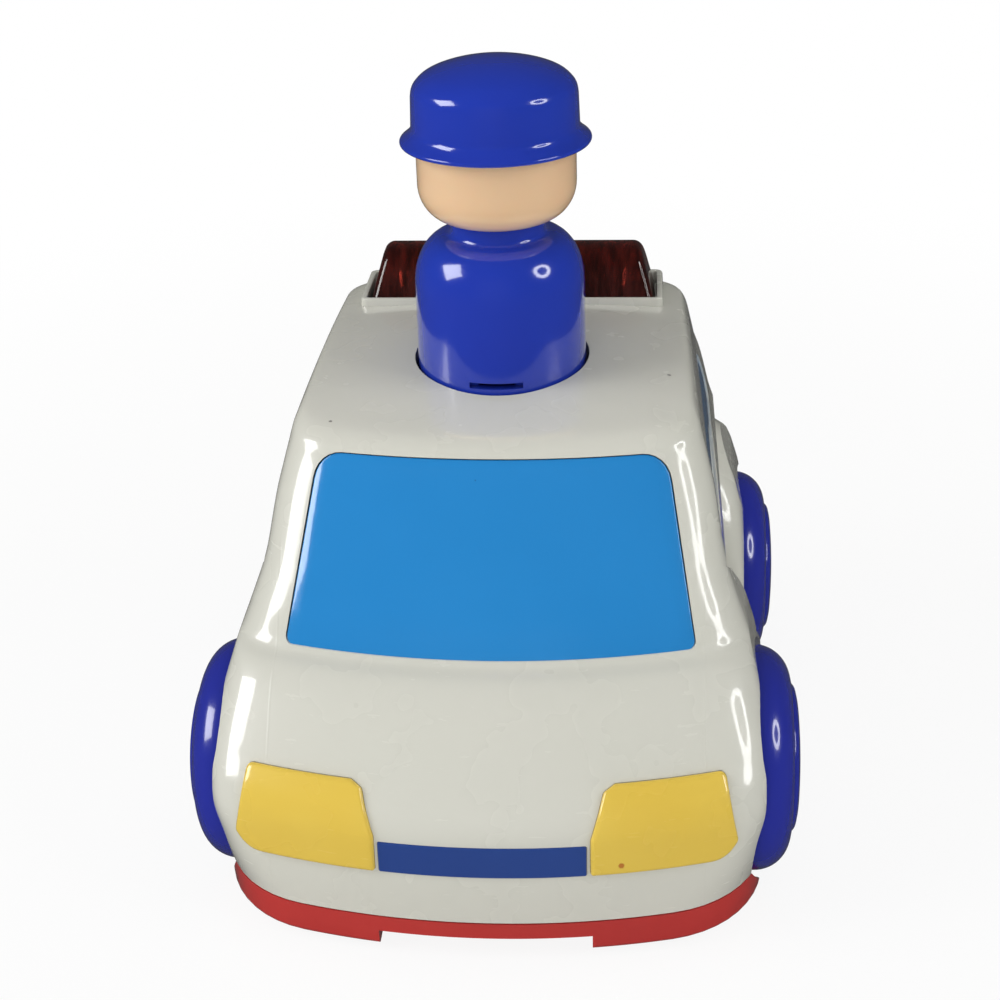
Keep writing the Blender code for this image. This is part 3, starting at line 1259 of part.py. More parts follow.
def build_gears(parts, cutters):
    first, middle, last = gear_places()
    rack_half, pair_low, pair_high, axle_low, axle_high = gear_planes()
    left_out, left_in, right_in, right_out = plate_planes()
    for name, place, sets in (
            ("winding_gear", first,
             [(PINION_TEETH, winding_phase(), -rack_half, pair_low + SMALL),
              (WINDING_TEETH, winding_phase(), pair_low, pair_high)]),
            ("clutch_gear", middle,
             [(PINION_TEETH, clutch_phase(first, middle), pair_low - GEAR_SIDE_GAP / 2.0,
               axle_low + SMALL),
              (CLUTCH_TEETH, clutch_phase(first, middle), axle_low, axle_high)])):
        body = rod(name, (left_out, place.x, place.y), (right_out, place.x, place.y), STUB_RADIUS,
                   parts, "grey_gear_plastic")
        for number, (teeth, phase, low, high) in enumerate(sets, 1):
            boolean(body, cutter(gear_solid(f"{name}_{number}", teeth, phase, place, low, high,
                                            cutters)), "UNION")
        set_origin(body, (0.0, place.x, place.y))
    gear = gear_solid("axle_gear", AXLE_GEAR_TEETH, 0.0, last, axle_low, axle_high, parts,
                      "grey_gear_plastic")
    boolean(gear, cutter(rod("axle_gear_bore", (axle_low - OVERRUN, last.x, last.y),
                             (axle_high + OVERRUN, last.x, last.y), AXLE_RADIUS + BEARING_GAP,
                             cutters, segments=16)))
    set_origin(gear, (0.0, last.x, last.y))


def set_origin(item, place):
    """Puts an object's origin on its turning axis without moving its shape."""
    move = Vector(place) - item.location
    item.data.transform(Matrix.Translation(-move))
    item.location = place


def rack_outline():
    """The rack bar seen from the side: straight teeth towards +Y."""
    pitch = pi * MODULE
    lean = tan(PRESSURE_ANGLE)
    half_pitch_line = (pitch / 2.0 - BACKLASH) / 2.0
    tip_half = half_pitch_line - ADDENDUM * lean
    root_half = half_pitch_line + DEDENDUM * lean
    tip_y = RACK_PITCH_Y + ADDENDUM
    root_y = RACK_PITCH_Y - DEDENDUM
    back_y = root_y - RACK_BACK
    top = TORSO_BOTTOM_Z + DISC_THICKNESS / 2.0
    points = [(back_y, top), (back_y, RACK_BOTTOM_Z), (root_y, RACK_BOTTOM_Z)]
    gap_below = int((WINDING_Z - RACK_BOTTOM_Z - root_half) / pitch)
    for tooth in range(RACK_TEETH):
        z = WINDING_Z + pitch * (tooth - gap_below + 0.5)
        points += [(root_y, z - root_half), (tip_y, z - tip_half), (tip_y, z + tip_half),
                   (root_y, z + root_half)]
    points += [(root_y, top)]
    return points


def build_plunger(parts, cutters):
    """The disc that closes the torso from below, with the rack that hangs from it."""
    disc_radius = TORSO_RADIUS - TORSO_WALL - SEAT_GAP
    rack_half = RACK_WIDTH / 2.0
    rack = outline_solid("plunger_rack", [rack_outline()], -rack_half, rack_half, parts, ALONG_X,
                         "grey_gear_plastic")
    disc = cutter(rod("plunger_disc", (0, FIGURE_Y, TORSO_BOTTOM_Z),
                      (0, FIGURE_Y, TORSO_BOTTOM_Z + DISC_THICKNESS), disc_radius, cutters,
                      segments=FIGURE_SEGMENTS))
    boolean(rack, disc, "UNION")
    pin_radius = SPRING_RADIUS - SPRING_WIRE - SEAT_GAP
    boolean(rack, cutter(rod("plunger_pin", (0, SPRING_Y, TORSO_BOTTOM_Z - PLUNGER_PIN_LENGTH),
                             (0, SPRING_Y, TORSO_BOTTOM_Z + DISC_THICKNESS / 2.0), pin_radius,
                             cutters)), "UNION")
    return rack


def build_spring(parts, cutters):
    """A coil from the base's seat to the plunger disc, one unbroken wire."""
    low = SPRING_SEAT_Z + SPRING_WIRE + SEAT_GAP
    high = TORSO_BOTTOM_Z - SPRING_WIRE - SEAT_GAP
    curve = bpy.data.curves.new("return_spring", "CURVE")
    curve.dimensions = "3D"
    curve.bevel_depth = SPRING_WIRE
    curve.bevel_resolution = 0
    curve.use_fill_caps = True
    spline = curve.splines.new("POLY")
    count = SPRING_TURNS * SPRING_POINTS_PER_TURN
    spline.points.add(count)
    for i, point in enumerate(spline.points):
        angle = 2.0 * pi * i / SPRING_POINTS_PER_TURN
        z = low + (high - low) * i / count
        point.co = (SPRING_RADIUS * cos(angle), SPRING_Y + SPRING_RADIUS * sin(angle), z, 1.0)
    holder = bpy.data.objects.new("return_spring_wire", curve)
    cutters.objects.link(holder)
    shape = bmesh.new()
    shape.from_mesh(evaluated_mesh(holder))
    bpy.data.objects.remove(holder, do_unlink=True)
    bmesh.ops.remove_doubles(shape, verts=shape.verts, dist=MERGE_DISTANCE)
    return from_bmesh("return_spring", shape, parts, "steel")


# Gearbox

def plate_outline():
    """A gearbox side plate: low under the plunger, higher behind it, with feet on the floor."""
    first, middle, last = gear_places()
    floor = BASE_BOTTOM_Z + WALL + SEAT_GAP
    front = RACK_PITCH_Y - DEDENDUM - RACK_BACK - PLATE_THICKNESS - RUN_GAP
    low_top = TORSO_BOTTOM_Z - PRESS_TRAVEL - RUN_GAP
    back = last.x + PLATE_MARGIN
    step_y = FIGURE_Y + TORSO_RADIUS + FLANGE_WIDTH + RUN_GAP
    high_top = middle.y + PLATE_MARGIN
    corners = [(front, floor, 0.0), (back, floor, 0.0), (back, last.y + PLATE_MARGIN, PLATE_ROUND),
               (middle.x + PLATE_MARGIN, high_top, PLATE_ROUND), (step_y, high_top, PLATE_ROUND / 2.0),
               (step_y, low_top, 0.0), (front, low_top, PLATE_ROUND / 2.0)]
    holes = []
    for place, radius in ((first, STUB_RADIUS), (middle, STUB_RADIUS), (last, AXLE_RADIUS)):
        holes.append(arc(place, radius + BEARING_GAP, 360.0, 360.0 / 12.0, 11))
    return [rounded_outline(corners)] + holes


def build_gearbox(parts, cutters):
    """Two side plates; the left one carries the rack guide and the spacers."""
    left_out, left_in, right_in, right_out = plate_planes()
    frame = outline_solid("gearbox_frame", plate_outline(), left_out, left_in, parts, ALONG_X,
                          "black_gearbox_plastic")
    floor = BASE_BOTTOM_Z + WALL + SEAT_GAP
    guide_front = RACK_PITCH_Y - DEDENDUM - RACK_BACK - PLATE_THICKNESS - RUN_GAP
    low_top = TORSO_BOTTOM_Z - PRESS_TRAVEL - RUN_GAP
    inset = PLATE_THICKNESS / 8.0
    boolean(frame, cutter(box("rack_guide", (left_out + PLATE_THICKNESS / 2.0, guide_front + inset,
                                             floor + inset),
                              (right_in - SEAT_GAP, guide_front + PLATE_THICKNESS,
                               low_top - PLATE_THICKNESS), cutters)), "UNION")
    cover = outline_solid("gearbox_cover", plate_outline(), right_in, right_out, parts,
                                ALONG_X, "black_gearbox_plastic")
    for number, (y, z) in enumerate(gearbox_screw_places(), 1):
        boolean(frame, cutter(rod(f"spacer_{number}", (left_out + PLATE_THICKNESS / 2.0, y, z),
                                  (right_in - SEAT_GAP, y, z), SPACER_RADIUS, cutters)), "UNION")
        boolean(frame, cutter(rod(f"spacer_hole_{number}", (right_in - SPACER_BORE_DEPTH, y, z),
                                  (right_in + OVERRUN, y, z), SMALL_SCREW * SCREW_SHANK_RADIUS + SEAT_GAP,
                                  cutters)))
        boolean(cover, cutter(rod(f"cover_hole_{number}", (right_in - OVERRUN, y, z),
                                        (right_out + OVERRUN, y, z),
                                        SMALL_SCREW * SCREW_SHANK_RADIUS + SEAT_GAP, cutters)))


def gearbox_screw_places():
    first, middle, last = gear_places()
    floor = BASE_BOTTOM_Z + WALL + SEAT_GAP
    height = floor + PLATE_MARGIN
    return [(first.x, height), (last.x - 2.0 * PLATE_MARGIN - SPACER_RADIUS, height)]


# Screws

def screw_profile(head_radius, head_height, shank_radius, length):
    """A pan head above zero and a shank below it."""
    return [(0.0, head_height), (0.62 * head_radius, head_height), (head_radius, 0.55 * head_height),
            (head_radius, 0.0), (shank_radius, 0.0), (shank_radius, -length + shank_radius),
            (0.3 * shank_radius, -length), (0.0, -length)]


def build_screws(parts):
    seat = BASE_BOTTOM_Z + WALL - SEAT_GAP
    profile = screw_profile(SCREW_HEAD_RADIUS, SCREW_HEAD_HEIGHT, SCREW_SHANK_RADIUS, SCREW_LENGTH)
    for number, (x, y) in enumerate(screw_places(), 1):
        screw = turned(f"base_screw_{number}", profile, parts, "steel", SMALL_SEGMENTS)
        screw.rotation_euler = (pi, 0.0, 0.0)
        screw.location = (x, y, seat)
    _, _, _, right_out = plate_planes()
    small = screw_profile(SMALL_SCREW * SCREW_HEAD_RADIUS, SMALL_SCREW * SCREW_HEAD_HEIGHT,
                          SMALL_SCREW * SCREW_SHANK_RADIUS, SMALL_SCREW_LENGTH)
    for number, (y, z) in enumerate(gearbox_screw_places(), 1):
        screw = turned(f"gearbox_screw_{number}", small, parts, "steel", SMALL_SEGMENTS)
        screw.rotation_euler = (0.0, pi / 2.0, 0.0)
        screw.location = (right_out + SEAT_GAP, y, z)


def main():
    clear_scene()
    parts = make_collection("toy_patrol_car")
    cutters = make_collection("cutters")
    build_body_shell(parts, cutters)
    build_base_pan(parts, cutters)
    for opening in window_openings():
        build_pane(opening, parts, cutters)
    for opening in nose_openings():
        proud = STRIP_PROUD if opening.name == "nose_strip" else LAMP_PROUD
        build_nose_piece(opening, proud, parts, cutters)
    build_light_bar(parts, cutters)
    build_figure(parts, cutters)
    build_plunger(parts, cutters)
    build_spring(parts, cutters)
    build_gears(parts, cutters)
    build_gearbox(parts, cutters)
    for place, axle_y, _ in FENDERS:
        build_axle(f"{place}_axle", axle_y, parts)
        for side_name, side in SIDES:
            build_wheel(f"wheel_{place}_{side_name}", axle_y, side, parts)
    build_screws(parts)
    bpy.context.view_layer.update()


main()
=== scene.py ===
"""Dresses the press-and-go toy patrol car: fine moulded forms, plastics, lamps and camera.

Metres, +Z up, the nose towards -Y, the origin on the floor under the middle of the car.
"""
from __future__ import annotations

import json
import logging
from dataclasses import dataclass, field
from enum import Enum
from math import acos, asin, atan2, cos, pi, radians, sin, tan
from typing import Callable, ClassVar, Sequence

import bmesh
import bpy
from mathutils import Matrix, Vector
from mathutils.bvhtree import BVHTree

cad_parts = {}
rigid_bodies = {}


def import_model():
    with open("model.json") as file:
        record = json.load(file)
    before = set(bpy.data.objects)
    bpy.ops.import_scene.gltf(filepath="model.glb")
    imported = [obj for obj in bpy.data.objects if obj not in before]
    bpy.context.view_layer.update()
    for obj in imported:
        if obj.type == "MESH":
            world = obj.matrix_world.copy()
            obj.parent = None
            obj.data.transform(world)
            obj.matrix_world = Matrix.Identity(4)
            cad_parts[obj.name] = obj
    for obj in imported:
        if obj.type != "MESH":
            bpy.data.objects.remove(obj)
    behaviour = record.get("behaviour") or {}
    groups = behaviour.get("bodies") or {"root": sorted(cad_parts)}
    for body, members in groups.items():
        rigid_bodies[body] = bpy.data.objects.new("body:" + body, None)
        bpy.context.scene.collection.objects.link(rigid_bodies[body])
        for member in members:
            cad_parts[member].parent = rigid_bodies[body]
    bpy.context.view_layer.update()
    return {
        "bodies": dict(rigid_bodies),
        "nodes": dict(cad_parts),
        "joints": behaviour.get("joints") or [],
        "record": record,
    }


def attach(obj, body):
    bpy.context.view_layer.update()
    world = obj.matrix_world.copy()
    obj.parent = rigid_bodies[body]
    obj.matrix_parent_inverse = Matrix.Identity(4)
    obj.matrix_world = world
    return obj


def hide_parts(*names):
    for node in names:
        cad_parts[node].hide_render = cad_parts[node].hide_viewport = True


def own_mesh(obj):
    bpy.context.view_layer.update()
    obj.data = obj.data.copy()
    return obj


MM = 0.001
SEAT_GAP = 0.3 * MM
PANE_GAP = 0.06 * MM
OVERRUN = 12.0 * MM
MERGE_DISTANCE = 0.005 * MM
AXLE_BORE = 1.58 * MM

log = logging.getLogger("patrol_car")
Point2 = tuple[float, float]
Outline = list[Point2]


class Body(Enum):
    """The rigid bodies that pieces ride on."""

    CAR = "car_body"
    FIGURE = "figure"
    FRONT_WHEELS = "front_wheelset"
    REAR_WHEELS = "rear_wheelset"


class Side(Enum):
    """Left or right of the car, as the sign of X."""

    LEFT = -1.0
    RIGHT = 1.0


class Facing(Enum):
    """The way an outline faces: the matrix lays (across, height, depth) on the world."""

    NOSE = Matrix(((1, 0, 0, 0), (0, 0, -1, 0), (0, 1, 0, 0), (0, 0, 0, 1)))
    SIDE = Matrix(((0, 0, 1, 0), (1, 0, 0, 0), (0, 1, 0, 0), (0, 0, 0, 1)))
    TOP = Matrix(((1, 0, 0, 0), (0, 1, 0, 0), (0, 0, 1, 0), (0, 0, 0, 1)))


# Shader maths


@dataclass
class Signal:
    """A node socket that can be used in Python expressions."""

    graph: "ShaderGraph"
    socket: bpy.types.NodeSocket

    def _math(self, operation: str, *values: "Signal | float") -> "Signal":
        """Adds one Math node over these values."""
        return self.graph.node("ShaderNodeMath", {"operation": operation}, dict(enumerate(values)))

    def __add__(self, other: "Signal | float") -> "Signal":
        """Sum."""
        return self._math("ADD", self, other)

    def __radd__(self, other: float) -> "Signal":
        """Sum with a number on the left."""
        return self._math("ADD", other, self)

    def __sub__(self, other: "Signal | float") -> "Signal":
        """Difference."""
        return self._math("SUBTRACT", self, other)

    def __rsub__(self, other: float) -> "Signal":
        """Difference from a number on the left."""
        return self._math("SUBTRACT", other, self)

    def __mul__(self, other: "Signal | float") -> "Signal":
        """Product."""
        return self._math("MULTIPLY", self, other)

    def __rmul__(self, other: float) -> "Signal":
        """Product with a number on the left."""
        return self._math("MULTIPLY", other, self)

    def absolute(self) -> "Signal":
        """Value without its sign."""
        return self._math("ABSOLUTE", self)

    def at_least(self, other: "Signal | float") -> "Signal":
        """The larger of two values."""
        return self._math("MAXIMUM", self, other)

    def band(self, low: float, high: float) -> "Signal":
        """Smooth step from 0 at low to 1 at high, or down where high is below low.

        Args:
            low: The value that gives 0.
            high: The value that gives 1.

        Returns:
            The stepped value between 0 and 1.
        """
        settings = {"interpolation_type": "SMOOTHSTEP", "clamp": True}
        return self.graph.node("ShaderNodeMapRange", settings,
                               {"Value": self, "From Min": low, "From Max": high})


class ShaderGraph:
    """Builds one material's node tree."""

    def __init__(self, name: str) -> None:
        """Starts an empty material with a Principled shader.

        Args:
            name: The material's name.
        """
        self.material = bpy.data.materials.new(name)
        self.material.use_nodes = True
        self.tree = self.material.node_tree
        self.shader = self.tree.nodes["Principled BSDF"]

    def node(self, kind: str, settings: dict | None = None, inputs: dict | None = None,
             output: int | str = 0) -> Signal:
        """Adds a node.

        Args:
            kind: The node's type name.
            settings: Attributes, which are set first.
            inputs: Socket name or number to a value or a Signal.
            output: The output socket to return.

        Returns:
            The chosen output as a Signal.
        """
        made = self.tree.nodes.new(kind)
        for key, value in (settings or {}).items():
            setattr(made, key, value)
        for key, value in (inputs or {}).items():
            self.feed(made.inputs[key], value)
        return Signal(self, made.outputs[output])

    def feed(self, socket: bpy.types.NodeSocket, value: "Signal | float | tuple") -> None:
        """Links or sets one input.

        Args:
            socket: The input.
            value: A Signal to link, or the value to set.
        """
        if isinstance(value, Signal):
            self.tree.links.new(value.socket, socket)
        elif isinstance(value, tuple) and len(value) == 3 and socket.type == "RGBA":
            socket.default_value = (*value, 1.0)
        else:
            socket.default_value = value

    def surface(self, **values: "Signal | float | tuple") -> None:
        """Feeds the Principled shader; underscores in the names stand for spaces."""
        for key, value in values.items():
            self.feed(self.shader.inputs[key.replace("_", " ")], value)

    def place(self) -> Signal:
        """Position in the object's own space, in metres."""
        return self.node("ShaderNodeTexCoord", output="Object")

    def axes(self, place: Signal) -> tuple[Signal, Signal, Signal]:
        """Splits a position into X, Y and Z."""
        split = self.node("ShaderNodeSeparateXYZ", None, {0: place})
        outputs = split.socket.node.outputs
        return tuple(Signal(self, outputs[i]) for i in range(3))

    def noise(self, place: Signal, scale: float, detail: float = 2.0, rough: float = 0.5,
              stretch: tuple[float, float, float] | None = None) -> Signal:
        """Noise between 0 and 1.

        Args:
            place: The position it is read at.
            scale: Waves per metre.
            detail: Octaves.
            rough: How strong the finer octaves are.
            stretch: Scale along each axis, or None.

        Returns:
            The noise value.
        """
        if stretch:
            place = self.node("ShaderNodeVectorMath", {"operation": "MULTIPLY"},
                              {0: place, 1: stretch})
        return self.node("ShaderNodeTexNoise", None,
                         {"Vector": place, "Scale": scale, "Detail": detail, "Roughness": rough})

    def mix(self, factor: "Signal | float", first: "Signal | tuple",
            second: "Signal | tuple") -> Signal:
        """Mixes two colours.

        Args:
            factor: 0 gives the first, 1 the second.
            first: The first colour.
            second: The second colour.

        Returns:
            The mixed colour.
        """
        made = self.tree.nodes.new("ShaderNodeMix")
        made.data_type = "RGBA"
        for number, value in ((0, factor), (6, first), (7, second)):
            self.feed(made.inputs[number], value)
        return Signal(self, made.outputs[2])

    def distance(self, place: Signal, point: Sequence[float]) -> Signal:
        """Distance from a fixed point, in metres."""
        return self.node("ShaderNodeVectorMath", {"operation": "DISTANCE"},
                         {0: place, 1: tuple(point)}, output="Value")

    def relief(self, height: Signal, depth: float, under: Signal | None = None) -> Signal:
        """A Bump node.

        Args:
            height: The height, 0 to 1.
            depth: What 1 stands for, in metres.
            under: A bump below this one, or None.

        Returns:
            The bent normal.
        """
        inputs = {"Height": height, "Distance": depth, "Strength": 1.0}
        if under:
            inputs["Normal"] = under
        return self.node("ShaderNodeBump", None, inputs)


# Finishes


@dataclass(frozen=True)
class Speck:
    """A small mark on a surface: where, how wide and in what colour."""

    place: tuple[float, float, float]
    size: float
    color: tuple[float, float, float]
    strength: float = 0.8


@dataclass(frozen=True)
class MouldedPlastic:
    """Glossy moulded plastic with faint clouding, orange peel, rub marks and specks."""

    name: str
    color: tuple[float, float, float]
    shade: tuple[float, float, float]
    roughness: float = 0.3
    coat: float = 1.0
    coat_roughness: float = 0.05
    peel: float = 0.006 * MM
    cloud_scale: float = 38.0
    scratches: float = 0.12
    subsurface: float = 0.0
    seams: tuple[float, ...] = ()
    seam_half: Point2 = (0.28 * MM, 0.05 * MM)
    seam_fade: Point2 = (-24.0 * MM, -30.0 * MM)
    seam_depth: float = 0.02 * MM
    specks: tuple[Speck, ...] = ()

    def build(self) -> bpy.types.Material:
        """Makes the material.

        Returns:
            The finished material.
        """
        graph = ShaderGraph(self.name)
        place = graph.place()
        clouds = graph.noise(place, self.cloud_scale, 2.0).band(0.1, 0.9)
        color = graph.mix(clouds, self.color, self.shade)
        rubs = graph.noise(place, 160.0, 3.0, 0.6, (1.0, 1.0, 7.0)).band(0.62, 0.78)
        height = graph.noise(place, 1100.0, 1.0)
        normal = graph.relief(height, self.peel)
        if self.seams:
            normal = self._seams(graph, place, normal)
        for speck in self.specks:
            color = self._speck(graph, place, color, speck)
        fine = graph.noise(place, 90.0, 2.0)
        roughness = self.roughness + 0.06 * (fine - 0.5) + 0.16 * self.scratches * rubs
        graph.surface(Base_Color=color, Roughness=roughness, Normal=normal, Coat_Weight=self.coat,
                      Coat_Roughness=self.coat_roughness, IOR=1.5)
        if self.subsurface:
            graph.surface(Subsurface_Weight=self.subsurface, Subsurface_Scale=2.0 * MM)
        return graph.material

    def _seams(self, graph: ShaderGraph, place: Signal, normal: Signal) -> Signal:
        """Adds the faint upright lines that the mould's slides leave.

        Args:
            graph: The material's graph.
            place: The position.
            normal: The bump below.

        Returns:
            The bump with the lines.
        """
        across, along, _ = graph.axes(place)
        lines: Signal | None = None
        for seam in self.seams:
            line = (across.absolute() - seam).absolute().band(*self.seam_half)
            lines = line if lines is None else lines.at_least(line)
        ahead = along.band(*self.seam_fade)
        return graph.relief(lines * ahead, self.seam_depth, normal)

    @staticmethod
    def _speck(graph: ShaderGraph, place: Signal, color: Signal, speck: Speck) -> Signal:
        """Paints one ragged speck.

        Args:
            graph: The material's graph.
            place: The position.
            color: The colour below.
            speck: The mark to paint.

        Returns:
            The colour with the mark.
        """
        ragged = graph.distance(place, speck.place) + speck.size * 0.9 * (
            graph.noise(place, 0.9 / speck.size, 2.0) - 0.5)
        mask = ragged.band(speck.size, speck.size * 0.55) * speck.strength
        return graph.mix(mask, color, speck.color)


@dataclass(frozen=True)
class SmokedLens:
    """Dark red translucent plastic."""

    name: str
    color: tuple[float, float, float]
    depth_color: tuple[float, float, float]
    transmission: float = 0.75

    def build(self) -> bpy.types.Material:
        """Makes the material.

        Returns:
            The finished material.
        """
        graph = ShaderGraph(self.name)
        place = graph.place()
        streaks = graph.noise(place, 210.0, 2.0, 0.5, (3.0, 1.0, 0.4)).band(0.35, 0.68)
        color = graph.mix(streaks, self.depth_color, self.color)
        normal = graph.relief(graph.noise(place, 500.0, 1.0), 0.01 * MM)
        graph.surface(Base_Color=color, Roughness=0.1 + 0.08 * streaks, Normal=normal,
                      Transmission_Weight=self.transmission, IOR=1.49, Coat_Weight=0.4,
                      Coat_Roughness=0.04)
        return graph.material


@dataclass(frozen=True)
class DrawnSteel:
    """Bright drawn or coiled wire and bar."""

    name: str
    color: tuple[float, float, float] = (0.56, 0.56, 0.57)

    def build(self) -> bpy.types.Material:
        """Makes the material.

        Returns:
            The finished material.
        """
        graph = ShaderGraph(self.name)
        place = graph.place()
        lines = graph.noise(place, 900.0, 2.0, 0.6, (0.1, 1.0, 1.0))
        color = graph.mix(lines, self.color, (0.42, 0.42, 0.44))
        graph.surface(Base_Color=color, Roughness=0.2 + 0.14 * lines, Metallic=1.0,
                      Normal=graph.relief(lines, 0.01 * MM))
        return graph.material


@dataclass(frozen=True)
class SatinPlastic:
    """Satin gear or gearbox plastic with a fine spark-eroded grain."""

    name: str
    color: tuple[float, float, float]
    shade: tuple[float, float, float]
    roughness: float = 0.42

    def build(self) -> bpy.types.Material:
        """Makes the material.

        Returns:
            The finished material.
        """
        graph = ShaderGraph(self.name)
        place = graph.place()
        grain = graph.noise(place, 1600.0, 2.0)
        clouds = graph.noise(place, 60.0, 2.0).band(0.3, 0.7)
        graph.surface(Base_Color=graph.mix(clouds, self.color, self.shade),
                      Roughness=self.roughness + 0.08 * (grain - 0.5),
                      Normal=graph.relief(grain, 0.02 * MM))
        return graph.material


def speck_row(places: Sequence[tuple[float, float, float, float]],
              color: tuple[float, float, float], strength: float = 0.8) -> tuple[Speck, ...]:
    """Several marks of one colour.

    Args:
        places: X, Y, Z and size of each, in millimetres.
        color: Their colour.
        strength: How far they cover.

    Returns:
        The marks.
    """
    return tuple(Speck((x * MM, y * MM, z * MM), size * MM, color, strength)
                 for x, y, z, size in places)


GRIME = (0.13, 0.12, 0.11)
FINISHES = {
    "white_body": MouldedPlastic(
        "warm_white_plastic", (0.69, 0.69, 0.61), (0.70, 0.695, 0.62), 0.27, seams=(38.6 * MM,),
        specks=speck_row(((-30.0, -16.0, 82.3, 0.45), (-25.2, -16.2, 82.9, 0.4),
                          (-22.6, -16.2, 83.1, 0.5), (-31.3, -18.6, 80.6, 0.45),
                          (32.2, 1.0, 84.0, 0.6), (27.2, -65.2, 13.6, 0.5),
                          (28.8, -64.8, 13.9, 0.35)), GRIME)),
    "red_base": MouldedPlastic("red_plastic", (0.58, 0.036, 0.03), (0.52, 0.03, 0.027), 0.34),
    "blue_window": MouldedPlastic(
        "sky_blue_plastic", (0.018, 0.25, 0.63), (0.022, 0.265, 0.66), 0.16,
        specks=speck_row(((-2.6, -26.6, 75.6, 0.35), (-32.6, -30.0, 66.5, 0.35),
                          (4.6, -30.0, 70.5, 0.3)), (0.01, 0.08, 0.3))),
    "navy_strip": MouldedPlastic("navy_plastic", (0.015, 0.055, 0.27), (0.018, 0.062, 0.29), 0.32),
    "yellow_lamp": MouldedPlastic(
        "yellow_plastic", (0.80, 0.55, 0.07), (0.84, 0.60, 0.09), 0.27,
        specks=speck_row(((24.2, -65.6, 21.0, 0.7),), (0.45, 0.08, 0.01))
        + speck_row(((38.4, -58.0, 29.4, 0.7), (36.0, -59.0, 29.0, 0.45),
                     (-25.0, -62.0, 31.0, 0.5)), (0.42, 0.33, 0.10), 0.5)),
    "deep_blue_figure": MouldedPlastic("deep_blue_plastic", (0.012, 0.045, 0.46),
                                       (0.016, 0.04, 0.43), 0.16),
    "peach_head": MouldedPlastic("peach_plastic", (0.86, 0.56, 0.32), (0.88, 0.60, 0.36), 0.42,
                                 subsurface=0.12),
    "wheel_blue": MouldedPlastic("wheel_blue_plastic", (0.016, 0.026, 0.36),
                                 (0.02, 0.03, 0.33), 0.2),
    "smoked_red_lens": SmokedLens("smoked_red_plastic", (0.20, 0.018, 0.01), (0.07, 0.008, 0.005)),
    "grey_gear": SatinPlastic("gear_plastic", (0.70, 0.70, 0.67), (0.66, 0.66, 0.63)),
    "black_gearbox": SatinPlastic("gearbox_plastic", (0.03, 0.03, 0.032), (0.04, 0.04, 0.042)),
    "axle_steel": DrawnSteel("drawn_steel"),
    "spring_steel": DrawnSteel("spring_wire", (0.60, 0.60, 0.61)),
}


class Paintbox:
    """Makes each finish once."""

    def __init__(self) -> None:
        """Starts with no materials made."""
        self.made: dict[str, bpy.types.Material] = {}

    def get(self, slot: str) -> bpy.types.Material:
        """The material of a slot.

        Args:
            slot: The record's material slot.

        Returns:
            Its material.
        """
        if slot not in self.made:
            self.made[slot] = FINISHES[slot].build()
        return self.made[slot]


PAINT = Paintbox()


# Mesh making


def between(low: float, high: float, share: float) -> float:
    """The value a share of the way from low to high."""
    return low + (high - low) * share


def new_object(name: str, shape: bmesh.types.BMesh) -> bpy.types.Object:
    """Turns a bmesh into an object of the scene, its faces outwards.

    Args:
        name: The piece's name.
        shape: The mesh, which is freed.

    Returns:
        The object.
    """
    bmesh.ops.recalc_face_normals(shape, faces=shape.faces)
    mesh = bpy.data.meshes.new(name)
    shape.to_mesh(mesh)
    shape.free()
    made = bpy.data.objects.new(name, mesh)
    bpy.context.scene.collection.objects.link(made)
    return made


def skin(name: str, rings: Sequence[Sequence[Vector]], close: bool = False,
         bent_ends: bool = False) -> bpy.types.Object:
    """A surface through closed rings of equal length.

    Args:
        name: The piece's name.
        rings: The rings in order.
        close: Joins the last ring to the first instead of capping both ends.
        bent_ends: Splits the caps into triangles, because their rings aren't flat.

    Returns:
        The object.
    """
    shape = bmesh.new()
    made = [[shape.verts.new(point) for point in ring] for ring in rings]
    count = len(made[0])
    pairs = list(zip(made, made[1:])) + ([(made[-1], made[0])] if close else [])
    for near, far in pairs:
        for i in range(count):
            j = (i + 1) % count
            shape.faces.new((near[i], near[j], far[j], far[i]))
    if not close:
        caps = [shape.faces.new(made[0]), shape.faces.new(made[-1])]
        if bent_ends:
            bmesh.ops.triangulate(shape, faces=caps)
    return new_object(name, shape)


def prism(name: str, outline: Outline, low: float, high: float,
          facing: Facing) -> bpy.types.Object:
    """A flat outline given depth.

    Args:
        name: The piece's name.
        outline: Its points, across and height.
        low: Where it starts along its depth.
        high: Where it ends.
        facing: The way it faces.

    Returns:
        The object.
    """
    rings = [[facing.value @ Vector((x, y, depth)) for x, y in outline] for depth in (low, high)]
    return skin(name, rings)


def block(name: str, low: Sequence[float], high: Sequence[float]) -> bpy.types.Object:
    """A box between two corners."""
    outline = [(low[0], low[1]), (high[0], low[1]), (high[0], high[1]), (low[0], high[1])]
    return prism(name, outline, low[2], high[2], Facing.TOP)


def arc(center: Point2, radius: float, start: float, end: float, steps: int) -> Outline:
    """Points of a round stretch; angles in degrees, both ends included."""
    angles = [radians(start + (end - start) * step / steps) for step in range(steps + 1)]
    return [(center[0] + radius * cos(a), center[1] + radius * sin(a)) for a in angles]


